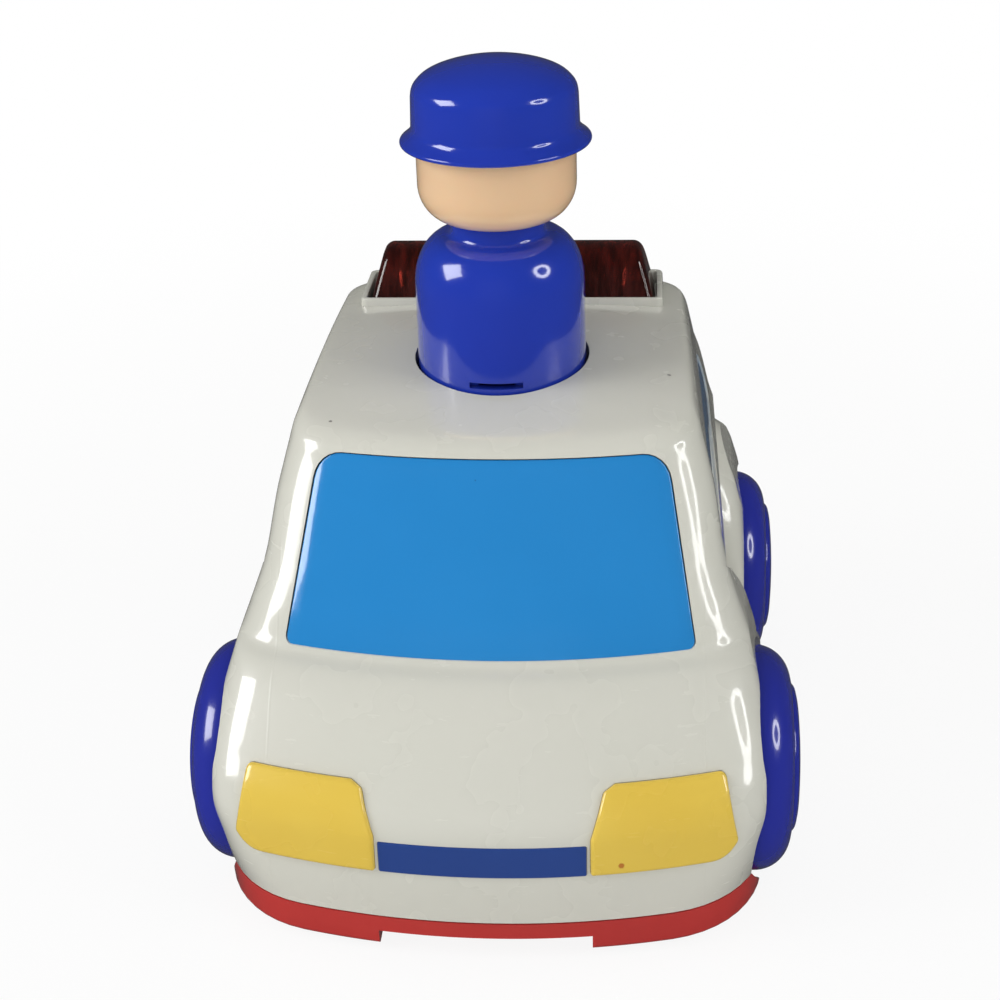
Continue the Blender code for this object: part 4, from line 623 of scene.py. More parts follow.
def lathe(name: str, profile: Outline, center: Vector, axis: Vector,
          segments: int) -> bpy.types.Object:
    """A closed profile of (radius, height) points spun round an axis.

    Args:
        name: The piece's name.
        profile: The closed profile.
        center: The axis's foot, where height is 0.
        axis: The axis's direction.
        segments: Facets around.

    Returns:
        The object.
    """
    shape = bmesh.new()
    turn = Vector((0, 0, 1)).rotation_difference(axis).to_matrix().to_4x4()
    rings = []
    for radius, height in profile:
        spots = range(segments) if radius > MERGE_DISTANCE else (0,)
        ring = [shape.verts.new((radius * cos(2 * pi * s / segments),
                                 radius * sin(2 * pi * s / segments), height)) for s in spots]
        rings.append(ring)
    closed = len(rings[0]) > 1 and len(rings[-1]) > 1
    pairs = list(zip(rings, rings[1:])) + ([(rings[-1], rings[0])] if closed else [])
    for near, far in pairs:
        for i in range(segments):
            j = (i + 1) % segments
            corners = [near[i % len(near)], near[j % len(near)],
                       far[j % len(far)], far[i % len(far)]]
            unique = [v for k, v in enumerate(corners) if v not in corners[:k]]
            if len(unique) > 2:
                shape.faces.new(unique)
    bmesh.ops.transform(shape, matrix=Matrix.Translation(center) @ turn, verts=shape.verts)
    return new_object(name, shape)


def cut(target: bpy.types.Object, tools: Sequence[bpy.types.Object],
        operation: str = "DIFFERENCE") -> bpy.types.Object:
    """Cuts or joins closed solids and removes the tools.

    Args:
        target: The piece that changes.
        tools: The solids used on it, one after the other.
        operation: DIFFERENCE, UNION or INTERSECT.

    Returns:
        The changed piece.
    """
    for tool in tools:
        modifier = target.modifiers.new("cut", "BOOLEAN")
        modifier.operation = operation
        modifier.solver = "EXACT"
        modifier.object = tool
    graph = bpy.context.evaluated_depsgraph_get()
    mesh = bpy.data.meshes.new_from_object(target.evaluated_get(graph), depsgraph=graph)
    target.modifiers.clear()
    old = target.data
    target.data = mesh
    bpy.data.meshes.remove(old)
    for tool in tools:
        bpy.data.objects.remove(tool, do_unlink=True)
    return target


def finish_piece(piece: bpy.types.Object, slot: str, body: Body, nodes: Sequence[str] = (),
                 angle: float = 32.0) -> bpy.types.Object:
    """Smooths, dresses and seats a piece.

    Args:
        piece: The piece.
        slot: The material slot.
        body: What it rides on.
        nodes: The frame's nodes that it stands for.
        angle: Edges sharper than this stay sharp, in degrees.

    Returns:
        The piece.
    """
    mesh = piece.data
    mesh.materials.clear()
    mesh.materials.append(PAINT.get(slot))
    mesh.shade_smooth()
    mesh.set_sharp_from_angle(angle=radians(angle))
    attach(piece, body.value)
    if nodes:
        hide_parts(*nodes)
    log.info("%s: %d faces on %s", piece.name, len(mesh.polygons), body.value)
    return piece


def rounded_outline(corners: Sequence[tuple[float, float, float]], steps: int = 6) -> Outline:
    """A polygon with round corners.

    Args:
        corners: Across, height and corner radius of each.
        steps: Points in each corner.

    Returns:
        The outline's points.
    """
    points: Outline = []
    count = len(corners)
    for i, (x, y, radius) in enumerate(corners):
        here = Vector((x, y))
        before = (Vector(corners[i - 1][:2]) - here).normalized()
        after = (Vector(corners[(i + 1) % count][:2]) - here).normalized()
        half = acos(max(-1.0, min(1.0, before.dot(after)))) / 2.0
        center = here + (before + after).normalized() * (radius / sin(half))
        first = here + before * (radius / tan(half)) - center
        last = here + after * (radius / tan(half)) - center
        start = atan2(first.y, first.x)
        sweep = (atan2(last.y, last.x) - start + pi) % (2.0 * pi) - pi
        points += [(center.x + radius * cos(start + sweep * step / steps),
                    center.y + radius * sin(start + sweep * step / steps))
                   for step in range(steps + 1)]
    return points


def divided(outline: Outline, counts: Sequence[int]) -> Outline:
    """Splits each edge of an outline into a number of equal stretches."""
    points: Outline = []
    for i, (start, number) in enumerate(zip(outline, counts)):
        end = outline[(i + 1) % len(outline)]
        points += [(between(start[0], end[0], k / number), between(start[1], end[1], k / number))
                   for k in range(number)]
    return points


def stretch_counts(outline: Outline, spacing: float) -> list[int]:
    """How many stretches each edge needs to stay within a spacing."""
    counts = []
    for i, start in enumerate(outline):
        end = outline[(i + 1) % len(outline)]
        counts.append(max(1, round((Vector(end) - Vector(start)).length / spacing)))
    return counts


# The body's form


@dataclass(frozen=True)
class Ring:
    """One level of the body: height, ends, half width, corner radius and share of roof lift."""

    z: float
    front: float
    rear: float
    half: float
    corner: float
    lift: float = 0.0

    def values(self) -> tuple[float, ...]:
        """The ring's numbers in order."""
        return (self.z, self.front, self.rear, self.half, self.corner, self.lift)


def smooth_values(rows: Sequence[tuple[float, ...]], steps: int) -> list[tuple[float, ...]]:
    """Runs a monotone cubic through rows of numbers.

    Args:
        rows: The rows.
        steps: Steps from each row to the next.

    Returns:
        The rows with steps between them.
    """
    count = len(rows)
    width = len(rows[0])
    slopes = [[0.0] * width for _ in range(count)]
    for k in range(width):
        rises = [rows[i + 1][k] - rows[i][k] for i in range(count - 1)]
        slopes[0][k], slopes[-1][k] = rises[0], rises[-1]
        for i in range(1, count - 1):
            near, far = rises[i - 1], rises[i]
            slopes[i][k] = 0.0 if near * far <= 0 else 2.0 * near * far / (near + far)
    made = []
    for i in range(count - 1):
        for step in range(steps):
            t = step / steps
            a = (1 + 2 * t) * (1 - t) ** 2
            b = t * (1 - t) ** 2
            c = t * t * (3 - 2 * t)
            d = t * t * (t - 1)
            made.append(tuple(a * rows[i][k] + b * slopes[i][k] + c * rows[i + 1][k]
                              + d * slopes[i + 1][k] for k in range(width)))
    made.append(tuple(rows[-1]))
    return made


@dataclass
class BodyForm:
    """The car's outer form: a hooded hatchback shape with a slanted screen and an arched roof."""

    half_length: float = 67.0 * MM
    half_width: float = 50.4 * MM
    door_half: float = 42.6 * MM
    front_crown: float = 133.0 * MM
    rear_crown: float = 210.0 * MM
    seam_z: float = 8.0 * MM
    seam_tuck: float = 0.4 * MM
    corner_low: float = 22.0 * MM
    corner_mid: float = 10.0 * MM
    corner_roof: float = 10.0 * MM
    corner_crown: float = 8.0 * MM
    nose_top_z: float = 25.0 * MM
    hood_edge_z: float = 34.2 * MM
    hood_edge_setback: float = 5.2 * MM
    hood_bulge: float = 1.6 * MM
    cowl_z: float = 48.1 * MM
    cowl_setback: float = 21.7 * MM
    screen_top_z: float = 79.3 * MM
    screen_top_setback: float = 42.9 * MM
    roof_edge_z: float = 81.0 * MM
    roof_rise: float = 4.6 * MM
    roof_peak_y: float = 30.0 * MM
    roof_span: float = 56.0 * MM
    roof_rear_setback: float = 12.5 * MM
    roof_front_step: float = 3.4 * MM
    roof_ring_step: float = 6.0 * MM
    roof_crown: float = 0.4 * MM
    shoulder_z: float = 60.6 * MM
    fender_top_half: float = 46.6 * MM
    shoulder_half: float = 43.0 * MM
    cabin_low_half: float = 42.2 * MM
    cabin_half: float = 40.7 * MM
    cabin_high_half: float = 39.1 * MM
    eave_half: float = 37.9 * MM
    roof_half: float = 36.4 * MM
    cabin_taper: float = 2.4 * MM
    taper_span: Point2 = (-32.0 * MM, 58.0 * MM)

    def roof_lift(self, y: float) -> float:
        """How far the roof's arch stands above its edge at y."""
        share = (self.roof_peak_y - y) / self.roof_span
        return self.roof_rise * (1.0 - share * share)

    def screen_y(self, z: float) -> float:
        """The windscreen's front at a height."""
        share = (z - self.cowl_z) / (self.screen_top_z - self.cowl_z)
        return -self.half_length + between(self.cowl_setback, self.screen_top_setback, share)

    def rings(self) -> list[Ring]:
        """The ruling rings from the seam to the middle of the roof."""
        length, half, rear = self.half_length, self.half_width, self.roof_rear_setback
        seam = self.seam_z + SEAT_GAP
        cowl, edge, nose, tuck = self.cowl_z, self.hood_edge_z, self.nose_top_z, self.seam_tuck
        low, mid, high = self.corner_low, self.corner_mid, self.corner_roof

        def ring(z: float, front: float, setback: float, width: float, corner: float,
                 lift: float = 0.0) -> Ring:
            """One ring, its rear given as a setback."""
            return Ring(z, front, length - setback, width, corner, lift)

        def hood(share: float, bulge: float) -> tuple[float, float]:
            """Height and front of the hood a share of the way up."""
            z = between(edge, cowl, share) + bulge
            back = between(self.hood_edge_setback, self.cowl_setback, share)
            return z, -length + back - bulge * 0.6

        def screen(share: float, low_z: float, high_z: float) -> tuple[float, float]:
            """Height and front of the screen a share of the way up."""
            z = between(low_z, high_z, share)
            return z, self.screen_y(z)

        def roof(number: float, setback: float, width: float) -> Ring:
            """One ring of the roof's crown."""
            front = (self.screen_y(self.screen_top_z) + self.roof_front_step
                     + number * self.roof_ring_step)
            corner = between(high, self.corner_crown, min(1.0, number / 2.0))
            corner *= min(1.0, 2.0 * width)
            z = self.roof_edge_z + self.roof_crown * (number - 1.0)
            return ring(z, front, setback * rear, width * self.roof_half, corner, 1.0)

        top = self.fender_top_half
        return [
            ring(seam, tuck - length, tuck, half - tuck, low),
            ring(between(seam, nose, 0.5), -length, 0.0, half, between(mid, low, 0.5)),
            ring(nose, -length + tuck / 2.0, 0.0, half, mid),
            ring(between(nose, edge, 0.5), -length + 0.3 * self.hood_edge_setback, tuck / 4.0,
                 half, mid),
            ring(edge, hood(0.0, 0.0)[1], tuck, half - tuck / 4.0, mid),
            ring(*hood(0.33, self.hood_bulge * 0.7), 0.06 * rear, between(half, top, 0.35), mid),
            ring(*hood(0.62, self.hood_bulge), 0.12 * rear, between(half, top, 0.7), mid),
            ring(*hood(0.84, self.hood_bulge * 0.7), 0.16 * rear, between(half, top, 0.9), mid),
            ring(*hood(1.0, 0.0), 0.2 * rear, top, mid),
            ring(*screen(0.42, cowl, self.shoulder_z), 0.27 * rear,
                 between(top, self.shoulder_half, 0.57), mid, 0.03),
            ring(*screen(0.76, cowl, self.shoulder_z), 0.34 * rear, self.shoulder_half, mid, 0.06),
            ring(*screen(1.0, cowl, self.shoulder_z), 0.4 * rear, self.cabin_low_half, mid, 0.1),
            ring(*screen(0.5, self.shoulder_z, self.screen_top_z), 0.58 * rear, self.cabin_half,
                 mid, 0.3),
            ring(*screen(0.82, self.shoulder_z, self.screen_top_z), 0.78 * rear,
                 self.cabin_high_half, between(high, mid, 0.5), 0.6),
            ring(*screen(1.0, self.shoulder_z, self.screen_top_z), 0.9 * rear, self.eave_half,
                 high, 0.85),
            roof(0.0, 1.0, 1.0),
            roof(1.0, 1.22, 0.84),
            roof(2.0, 1.5, 0.56),
            roof(3.0, 1.8, 0.25),
        ]

    @staticmethod
    def half_edge(edge: float, half: float, corner: float, crown: float, steps: int,
                  corner_steps: int) -> Outline:
        """One end of a ring from its middle to the side.

        Args:
            edge: The end's place along the car.
            half: The ring's half width.
            corner: The corner's radius.
            crown: The end's own radius.
            steps: Points over the end.
            corner_steps: Points round the corner.

        Returns:
            The points from the middle outwards.
        """
        straight = (half - corner) / (1.0 - corner / crown)
        slope = straight / crown
        points = [(straight * k / steps, edge + (straight * k / steps) ** 2 / (2.0 * crown))
                  for k in range(steps + 1)]
        center = (straight - corner * sin(slope), points[-1][1] + corner * cos(slope))
        for k in range(1, corner_steps + 1):
            angle = slope + (pi / 2.0 - slope) * k / corner_steps
            points.append((center[0] + corner * sin(angle), center[1] - corner * cos(angle)))
        return points

    def ring_points(self, ring: Ring, fine: int) -> list[Vector]:
        """A whole ring, starting at the nose and running round by +X."""
        steps = (3 * fine, 2 * fine)
        front = self.half_edge(ring.front, ring.half, ring.corner, self.front_crown, *steps)
        back = self.half_edge(-ring.rear, ring.half, ring.corner, self.rear_crown, *steps)
        back = [(x, -y) for x, y in reversed(back)]
        sides = 4 * fine
        side = [(ring.half, between(front[-1][1], back[0][1], k / sides)) for k in range(1, sides)]
        right = front + side + back
        left = [(-x, y) for x, y in reversed(right[1:-1])]
        return [Vector((x * self.drawn_in(ring, y), y, ring.z + ring.lift * self.roof_lift(y)))
                for x, y in right + left]

    def drawn_in(self, ring: Ring, y: float) -> float:
        """How far the cabin narrows towards the rear at y, as a share of its width."""
        share = (y - self.taper_span[0]) / (self.taper_span[1] - self.taper_span[0])
        amount = max(0.0, min(1.0, share)) * min(1.0, 2.5 * ring.lift)
        return 1.0 - self.cabin_taper * amount / self.cabin_half

    def solid(self, name: str, inset: float = 0.0, bottom: float | None = None,
              fine: int = 5, steps: int = 5) -> bpy.types.Object:
        """The form as one closed solid, moved inwards along its own normals.

        Args:
            name: The piece's name.
            inset: How far it lies inside the outer face.
            bottom: Where straight walls below the seam end, or None.
            fine: How finely the rings are divided.
            steps: Levels between the ruling rings.

        Returns:
            The solid.
        """
        shape = bmesh.new()
        levels = [Ring(*row) for row in smooth_values([r.values() for r in self.rings()], steps)]
        rings = [[shape.verts.new(p) for p in self.ring_points(level, fine)] for level in levels]
        count = len(rings[0])
        for low, high in zip(rings, rings[1:]):
            for i in range(count):
                j = (i + 1) % count
                shape.faces.new((low[i], low[j], high[j], high[i]))
        top = rings[-1]
        for i in range(count // 2):
            corners = [top[i], top[i + 1], top[(count - i - 1) % count], top[(count - i) % count]]
            unique = [v for k, v in enumerate(corners) if v not in corners[:k]]
            if len(unique) > 2:
                shape.faces.new(unique)
        bmesh.ops.recalc_face_normals(shape, faces=shape.faces)
        shape.normal_update()
        if top[0].normal.z < 0.0:
            bmesh.ops.reverse_faces(shape, faces=shape.faces)
            shape.normal_update()
        moves = [(v, v.normal * inset * v.calc_shell_factor()) for v in shape.verts]
        for vert, move in moves:
            vert.co -= move
        for vert in rings[0]:
            vert.co.z = levels[0].z
        last = rings[0]
        if bottom is not None:
            last = [shape.verts.new((v.co.x, v.co.y, bottom)) for v in rings[0]]
            for i in range(count):
                j = (i + 1) % count
                shape.faces.new((last[i], last[j], rings[0][j], rings[0][i]))
        shape.faces.new(last)
        return new_object(name, shape)


@dataclass
class WheelPlan:
    """Where the wheels stand and the round wells they turn in."""

    radius: float = 21.0 * MM
    width: float = 16.6 * MM
    tyre_outer: float = 55.0 * MM
    hub_outer: float = 56.8 * MM
    rear_tuck: float = 0.9 * MM
    front_y: float = -32.5 * MM
    rear_y: float = 40.5 * MM
    clearance: float = 1.5 * MM
    side_gap: float = 1.6 * MM
    wall: float = 2.0 * MM

    def axles(self) -> dict[str, float]:
        """Each axle's place along the car."""
        return {"front": self.front_y, "rear": self.rear_y}

    def well(self, axle_y: float, side: Side, grow: float) -> bpy.types.Object:
        """The round space a wheel turns in, grown by a margin."""
        inner = self.tyre_outer - self.width - self.side_gap - grow
        outline = arc((axle_y, self.radius), self.radius + self.clearance + grow, 0.0, 354.375, 63)
        ends = sorted((side.value * inner, side.value * (self.hub_outer + OVERRUN)))
        return prism("well", outline, ends[0], ends[1], Facing.SIDE)

    def axle_slot(self, axle_y: float, side: Side, upward: bool) -> bpy.types.Object:
        """The slot an axle passes through, open upwards or downwards."""
        start, end, far = (180.0, 360.0, 2.0 * self.radius) if upward else (0.0, 180.0, -OVERRUN)
        outline = arc((axle_y, self.radius), AXLE_BORE, start, end, 12)
        outline += [(outline[-1][0], far), (outline[0][0], far)]
        inner = self.tyre_outer - self.width - self.side_gap
        ends = sorted((side.value * (inner - 3.0 * self.wall), side.value * (inner + self.wall)))
        return prism("axle_slot", outline, ends[0], ends[1], Facing.SIDE)


@dataclass
class Fenders:
    """The ovals over the wheels, and the doors that lie back between them."""

    form: BodyForm
    wheels: WheelPlan
    outer: float = 50.6 * MM
    face: float = 49.1 * MM
    half_length: float = 24.8 * MM
    front_rise: float = 38.5 * MM
    rear_rise: float = 34.5 * MM
    front_drop: float = 13.5 * MM
    rear_drop: float = 17.5 * MM
    edge_draw: float = 3.0 * MM
    root: float = 34.0 * MM

    def outline(self, axle_y: float, length: float, rise: float, low: float,
                steps: int) -> Outline:
        """An oval over the wheel with straight legs below the seam."""
        center = self.wheels.radius
        start = asin((self.form.seam_z - center) / rise)
        angles = [start + (pi - 2.0 * start) * i / steps for i in range(steps + 1)]
        points = [(axle_y + length * cos(a), center + rise * sin(a)) for a in angles]
        return [(points[0][0], low)] + points + [(points[-1][0], low)]

    def solid(self, axle_y: float, rise: float, side: Side, inset: float, low: float,
              steps: int) -> bpy.types.Object:
        """One fender, its outer edge rounded off by an ellipse."""
        drop = self.front_drop if axle_y < 0.0 else self.rear_drop
        sections = [(self.root - inset, 0.0)]
        for step in range(9):
            angle = acos(1.0 - step / 8.0)
            start, end = self.form.door_half - inset, self.face - inset
            sections.append((between(start, end, sin(angle)), 1.0 - cos(angle)))
        sections.append((self.outer + 2.0 * OVERRUN, 1.0))
        rings = []
        for x, share in sections:
            points = self.outline(axle_y, self.half_length - inset - share * self.edge_draw,
                                  rise - inset - share * drop, low, steps)
            rings.append([Vector((side.value * x, y, z)) for y, z in points])
        return skin("fender", rings)

    def door_recess(self, side: Side, inset: float, steps: int = 48) -> bpy.types.Object:
        """The slab beside the body that the doors lie back by."""
        low = self.form.seam_z - OVERRUN
        xs = sorted((side.value * (self.form.door_half - inset),
                     side.value * (self.outer + OVERRUN)))
        slab = block("door_recess", (xs[0], self.wheels.front_y, low),
                     (xs[1], self.form.half_length + OVERRUN, self.form.screen_top_z))
        rises = {self.wheels.front_y: self.front_rise, self.wheels.rear_y: self.rear_rise}
        return cut(slab, [self.solid(y, rise, side, inset, low - OVERRUN, steps)
                          for y, rise in rises.items()])


# Openings and the pieces set into them


@dataclass
class Inset:
    """A piece set into the body: its outline, the way it faces and its edge's section."""

    name: str
    outline: Callable[[float], Outline]
    facing: Facing
    sign: float
    slot: str
    edge: tuple[tuple[float, float], ...]
    depth: float
    spacing: float = 1.3 * MM
    reach: float = 120.0 * MM

    def cutter(self, grow: float, near: float, far: float) -> bpy.types.Object:
        """The opening as a solid from near to far along the way it faces."""
        ends = sorted((self.sign * near, self.sign * far))
        return prism(self.name + "_opening", self.outline(grow), ends[0], ends[1], self.facing)

    def build(self, tree: BVHTree) -> bpy.types.Object:
        """Makes the piece on the body's form.

        Args:
            tree: The body's form for ray casts.

        Returns:
            The closed, crowned piece.
        """
        counts = stretch_counts(self.outline(-PANE_GAP), self.spacing)
        rings = [self._seat(tree, divided(self.outline(-PANE_GAP), counts), -self.depth)]
        last: Outline = []
        for inset, height in self.edge:
            last = divided(self.outline(-PANE_GAP - inset), counts)
            rings.append(self._seat(tree, last, height))
        top = self.edge[-1][1]
        middle = (sum(p[0] for p in last) / len(last), sum(p[1] for p in last) / len(last))
        for share in (0.92, 0.8, 0.66, 0.52, 0.38, 0.24, 0.1):
            inner = [(between(middle[0], x, share), between(middle[1], y, share)) for x, y in last]
            rings.append(self._seat(tree, inner, top))
        outer = divided(self.outline(-PANE_GAP), counts)
        back = [self._seat(tree, [(between(middle[0], x, share), between(middle[1], y, share))
                                  for x, y in outer], -self.depth)
                for share in (0.1, 0.35, 0.6, 0.8)]
        return skin(self.name, back + rings)

    def _seat(self, tree: BVHTree, outline: Outline, height: float) -> list[Vector]:
        """Lays outline points on the body, raised along its normal by a height."""
        points = []
        for x, y in outline:
            start = self.facing.value @ Vector((x, y, self.sign * self.reach))
            way = (self.facing.value @ Vector((x, y, 0.0)) - start).normalized()
            spot, normal, _, _ = tree.ray_cast(start, way)
            if normal.dot(way) > 0.0:
                normal = -normal
            points.append(spot + normal * height)
        return points


@dataclass
class Openings:
    """The outlines of the windows, lamps and strip."""

    form: BodyForm
    screen_low_half: float = 37.2 * MM
    screen_high_half: float = 31.8 * MM
    screen_corner: float = 5.5 * MM
    screen_low_corner: float = 1.2 * MM
    screen_top_margin: float = 0.4 * MM
    screen_bottom_margin: float = 0.6 * MM
    rear_z: Point2 = (56.0 * MM, 77.0 * MM)
    rear_half: Point2 = (28.0 * MM, 24.5 * MM)
    side_z: Point2 = (63.5 * MM, 75.0 * MM)
    side_front: Point2 = (-19.0 * MM, -12.0 * MM)
    side_rear: Point2 = (40.0 * MM, 36.0 * MM)
    low_round: float = 2.5 * MM
    high_round: float = 4.5 * MM
    lamp_x: tuple[float, ...] = (18.75 * MM, 20.9 * MM, 22.9 * MM, 42.1 * MM, 44.4 * MM)
    lamp_z: tuple[float, ...] = (18.9 * MM, 26.0 * MM, 33.1 * MM, 34.2 * MM, 22.7 * MM)
    strip_half: float = 18.25 * MM
    strip_z: Point2 = (18.7 * MM, 25.0 * MM)

    def screen(self, grow: float) -> Outline:
        """The windscreen."""
        low = self.form.cowl_z + self.screen_bottom_margin - grow
        high = self.form.screen_top_z - self.screen_top_margin + grow
        wide, narrow = self.screen_low_half + grow, self.screen_high_half + grow
        corner = self.screen_corner + grow
        low_corner = self.screen_low_corner
        return rounded_outline([(-wide, low, low_corner), (wide, low, low_corner),
                                (narrow, high, corner), (-narrow, high, corner)])

    def rear(self, grow: float) -> Outline:
        """The rear window."""
        low, high = self.rear_z[0] - grow, self.rear_z[1] + grow
        wide, narrow = self.rear_half[0] + grow, self.rear_half[1] + grow
        corner = self.high_round + grow
        return rounded_outline([(-wide, low, self.low_round), (wide, low, self.low_round),
                                (narrow, high, corner), (-narrow, high, corner)])

    def side(self, grow: float) -> Outline:
        """A side window."""
        low, high = self.side_z[0] - grow, self.side_z[1] + grow
        corner = self.high_round + grow
        return rounded_outline([(self.side_front[0] - grow, low, self.low_round),
                                (self.side_rear[0] + grow, low, self.low_round),
                                (self.side_rear[1] + grow, high, corner),
                                (self.side_front[1] - grow, high, corner)])

    def lamp(self, side: Side, grow: float) -> Outline:
        """A headlight."""
        inner, step, cut_x, outer_top, outer = self.lamp_x
        bottom, step_z, inner_top, top, outer_low = self.lamp_z
        grow_round = max(0.2 * MM, 0.8 * MM + grow)
        points = rounded_outline([
            (inner - grow, bottom - grow, max(0.2 * MM, 0.5 * MM + grow)),
            (outer_top, bottom - grow, 5.0 * MM + grow),
            (outer + grow, outer_low, 1.5 * MM + grow),
            (outer_top + grow, top + grow, 1.5 * MM + grow),
            (cut_x, top + grow, grow_round),
            (step - grow, inner_top, grow_round),
            (inner - grow, step_z, 1.5 * MM + grow)])
        return [(side.value * x, z) for x, z in points][::int(side.value)]

    def strip(self, grow: float) -> Outline:
        """The strip between the headlights."""
        half = self.strip_half + grow
        low, high = self.strip_z[0] - grow, self.strip_z[1] + grow
        corner = max(0.15 * MM, 0.4 * MM + grow)
        return rounded_outline([(-half, low, corner), (half, low, corner), (half, high, corner),
                                (-half, high, corner)], steps=3)

    def windows(self) -> list[Inset]:
        """The four window panes."""
        edge = ((0.0, -0.4 * MM), (0.1 * MM, -0.28 * MM), (0.3 * MM, -0.22 * MM))
        slot, depth = "blue_window", 2.0 * MM
        return [
            Inset("windscreen", self.screen, Facing.NOSE, 1.0, slot, edge, depth),
            Inset("rear_window", self.rear, Facing.NOSE, -1.0, slot, edge, depth),
            Inset("side_window_left", self.side, Facing.SIDE, -1.0, slot, edge, depth),
            Inset("side_window_right", self.side, Facing.SIDE, 1.0, slot, edge, depth),
        ]

    def nose_pieces(self) -> list[Inset]:
        """The headlights and the strip."""
        pad = ((0.0, 0.1 * MM), (0.06 * MM, 0.45 * MM), (0.24 * MM, 0.74 * MM),
               (0.55 * MM, 0.87 * MM), (1.0 * MM, 0.9 * MM))
        flat = ((0.0, 0.1 * MM), (0.12 * MM, 0.25 * MM))
        made = [Inset("nose_badge_strip", self.strip, Facing.NOSE, 1.0, "navy_strip", flat,
                      0.8 * MM)]
        for side in Side:
            name = f"lamp_{side.name.lower()}"
            made.append(Inset(name, lambda grow, side=side: self.lamp(side, grow), Facing.NOSE,
                              1.0, "yellow_lamp", pad, 0.8 * MM))
        return made


# Sub-assemblies


@dataclass
class LightBar:
    """The roof's light bar: a hollow ribbed lens in a raised rim."""

    form: BodyForm
    front: float = 34.6 * MM
    rear: float = 49.2 * MM
    top: float = 95.6 * MM
    fold_z: float = 93.0 * MM
    half: float = 29.6 * MM
    end_slope: float = 3.0 * MM
    front_slope: float = 3.6 * MM
    fold_depth: float = 2.6 * MM
    round: float = 4.5 * MM
    end_round: float = 1.6 * MM
    wall: float = 1.5 * MM
    rib_pitch: float = 2.1 * MM
    rib_depth: float = 0.7 * MM
    rim_width: float = 1.3 * MM
    rim_height: float = 1.5 * MM
    sink: float = 1.1 * MM
    top_swell: float = 0.35 * MM
    front_swell: float = 0.25 * MM

    @property
    def seat_z(self) -> float:
        """The floor of the lens's recess."""
        form = self.form
        return form.roof_edge_z + form.roof_lift(self.front) + form.roof_crown / 2.0 - self.sink

    def section(self, x: float, inset: float, bottom: float, low: float) -> list[Vector]:
        """The lens's closed section at x, inset from its face, with straight feet down to low."""
        front, rear, top = self.front + inset, self.rear - inset, self.top - inset
        fold = (self.front + self.front_slope + inset, self.fold_z - inset)
        center = (self.rear - self.round, self.top - self.round)
        points = [(rear, low), (rear, center[1])]
        points += arc(center, top - center[1], 12.0, 90.0, 7)
        crest = (fold[0] + self.fold_depth, top)
        points += [crest]
        points += [(between(crest[0], fold[0], s),
                    between(crest[1], fold[1], s) + self.top_swell * sin(pi * s))
                   for s in (0.25, 0.5, 0.75)]
        points += [fold]
        points += [(between(fold[0], front, s),
                    between(fold[1], bottom, s) + self.front_swell * sin(pi * s))
                   for s in (0.12, 0.5)]
        points += [(front, bottom), (front, low)] if low < bottom else [(front, bottom)]
        return [Vector((x, y, z)) for y, z in points]

    def leaned(self, section: list[Vector], inset: float, bottom: float) -> list[Vector]:
        """Leans an end section in towards the top."""
        made = []
        for point in section:
            share = (point.z - bottom) / (self.top - bottom)
            reach = self.half - inset - self.end_slope * share
            made.append(Vector((reach if point.x > 0.0 else -reach, point.y, point.z)))
        return made

    def build(self) -> None:
        """Makes the lens and the rim."""
        bottom = self.seat_z + SEAT_GAP
        half = self.half
        turn = [pi / 2.0 * k / 5 for k in range(6)]
        ends = [(self.end_round * (1.0 - cos(a)), self.end_round * (1.0 - sin(a))) for a in turn]
        left = [self.leaned(self.section(-half, shrink, bottom, bottom), inset, bottom)
                for inset, shrink in ends]
        right = [self.leaned(self.section(half, shrink, bottom, bottom), inset, bottom)
                 for inset, shrink in reversed(ends)]
        lens = cut(skin("light_bar", left + right, bent_ends=True), [self._hollow(bottom)])
        finish_piece(lens, "smoked_red_lens", Body.CAR, ["light_bar_lens"], 40.0)
        self._rim()

    def _hollow(self, bottom: float) -> bpy.types.Object:
        """The lens's inside, its front and top wall ribbed."""
        inner, low = self.half - self.wall, bottom - OVERRUN
        run = inner - self.end_slope - self.end_round
        count = int(2.0 * run / self.rib_pitch)
        step = 2.0 * run / count
        deep = self.wall + self.rib_depth
        sections = [self.leaned(self.section(-inner, self.wall, bottom, low), self.wall, bottom)]
        for i in range(count):
            x = -run + step * i
            sections.append(self.section(x, deep, bottom, low))
            for share in (0.3, 0.5, 0.7):
                sections.append(self.section(x + step * share, self.wall, bottom, low))
        sections.append(self.section(run, deep, bottom, low))
        sections.append(self.leaned(self.section(inner, self.wall, bottom, low), self.wall,
                                    bottom))
        return skin("light_bar_hollow", sections, bent_ends=True)

    def rim_outline(self, grow: float) -> Outline:
        """The rim's inner edge grown by a margin."""
        half = self.half + SEAT_GAP + grow
        front, rear = self.front - SEAT_GAP - grow, self.rear + SEAT_GAP + grow
        corner = 0.5 * MM + grow * 0.8
        return rounded_outline([(-half, front, corner), (half, front, corner),
                                (half, rear, corner), (-half, rear, corner)], steps=4)

    def _rim(self) -> None:
        """The raised white rim, round-edged."""
        top = self.seat_z + self.sink + self.rim_height
        low = self.seat_z - 0.5 * MM
        width = self.rim_width
        section = [(0.0, low), (0.0, top - 0.35 * MM), (0.1 * MM, top - 0.1 * MM),
                   (0.35 * MM, top),
                   (width - 0.4 * MM, top), (width - 0.12 * MM, top - 0.12 * MM),
                   (width, top - 0.4 * MM), (width + 0.15 * MM, low)]
        rings = [[Vector((x, y, z)) for x, y in self.rim_outline(grow)] for grow, z in section]
        finish_piece(skin("light_bar_rim", rings, close=True), "white_body", Body.CAR)


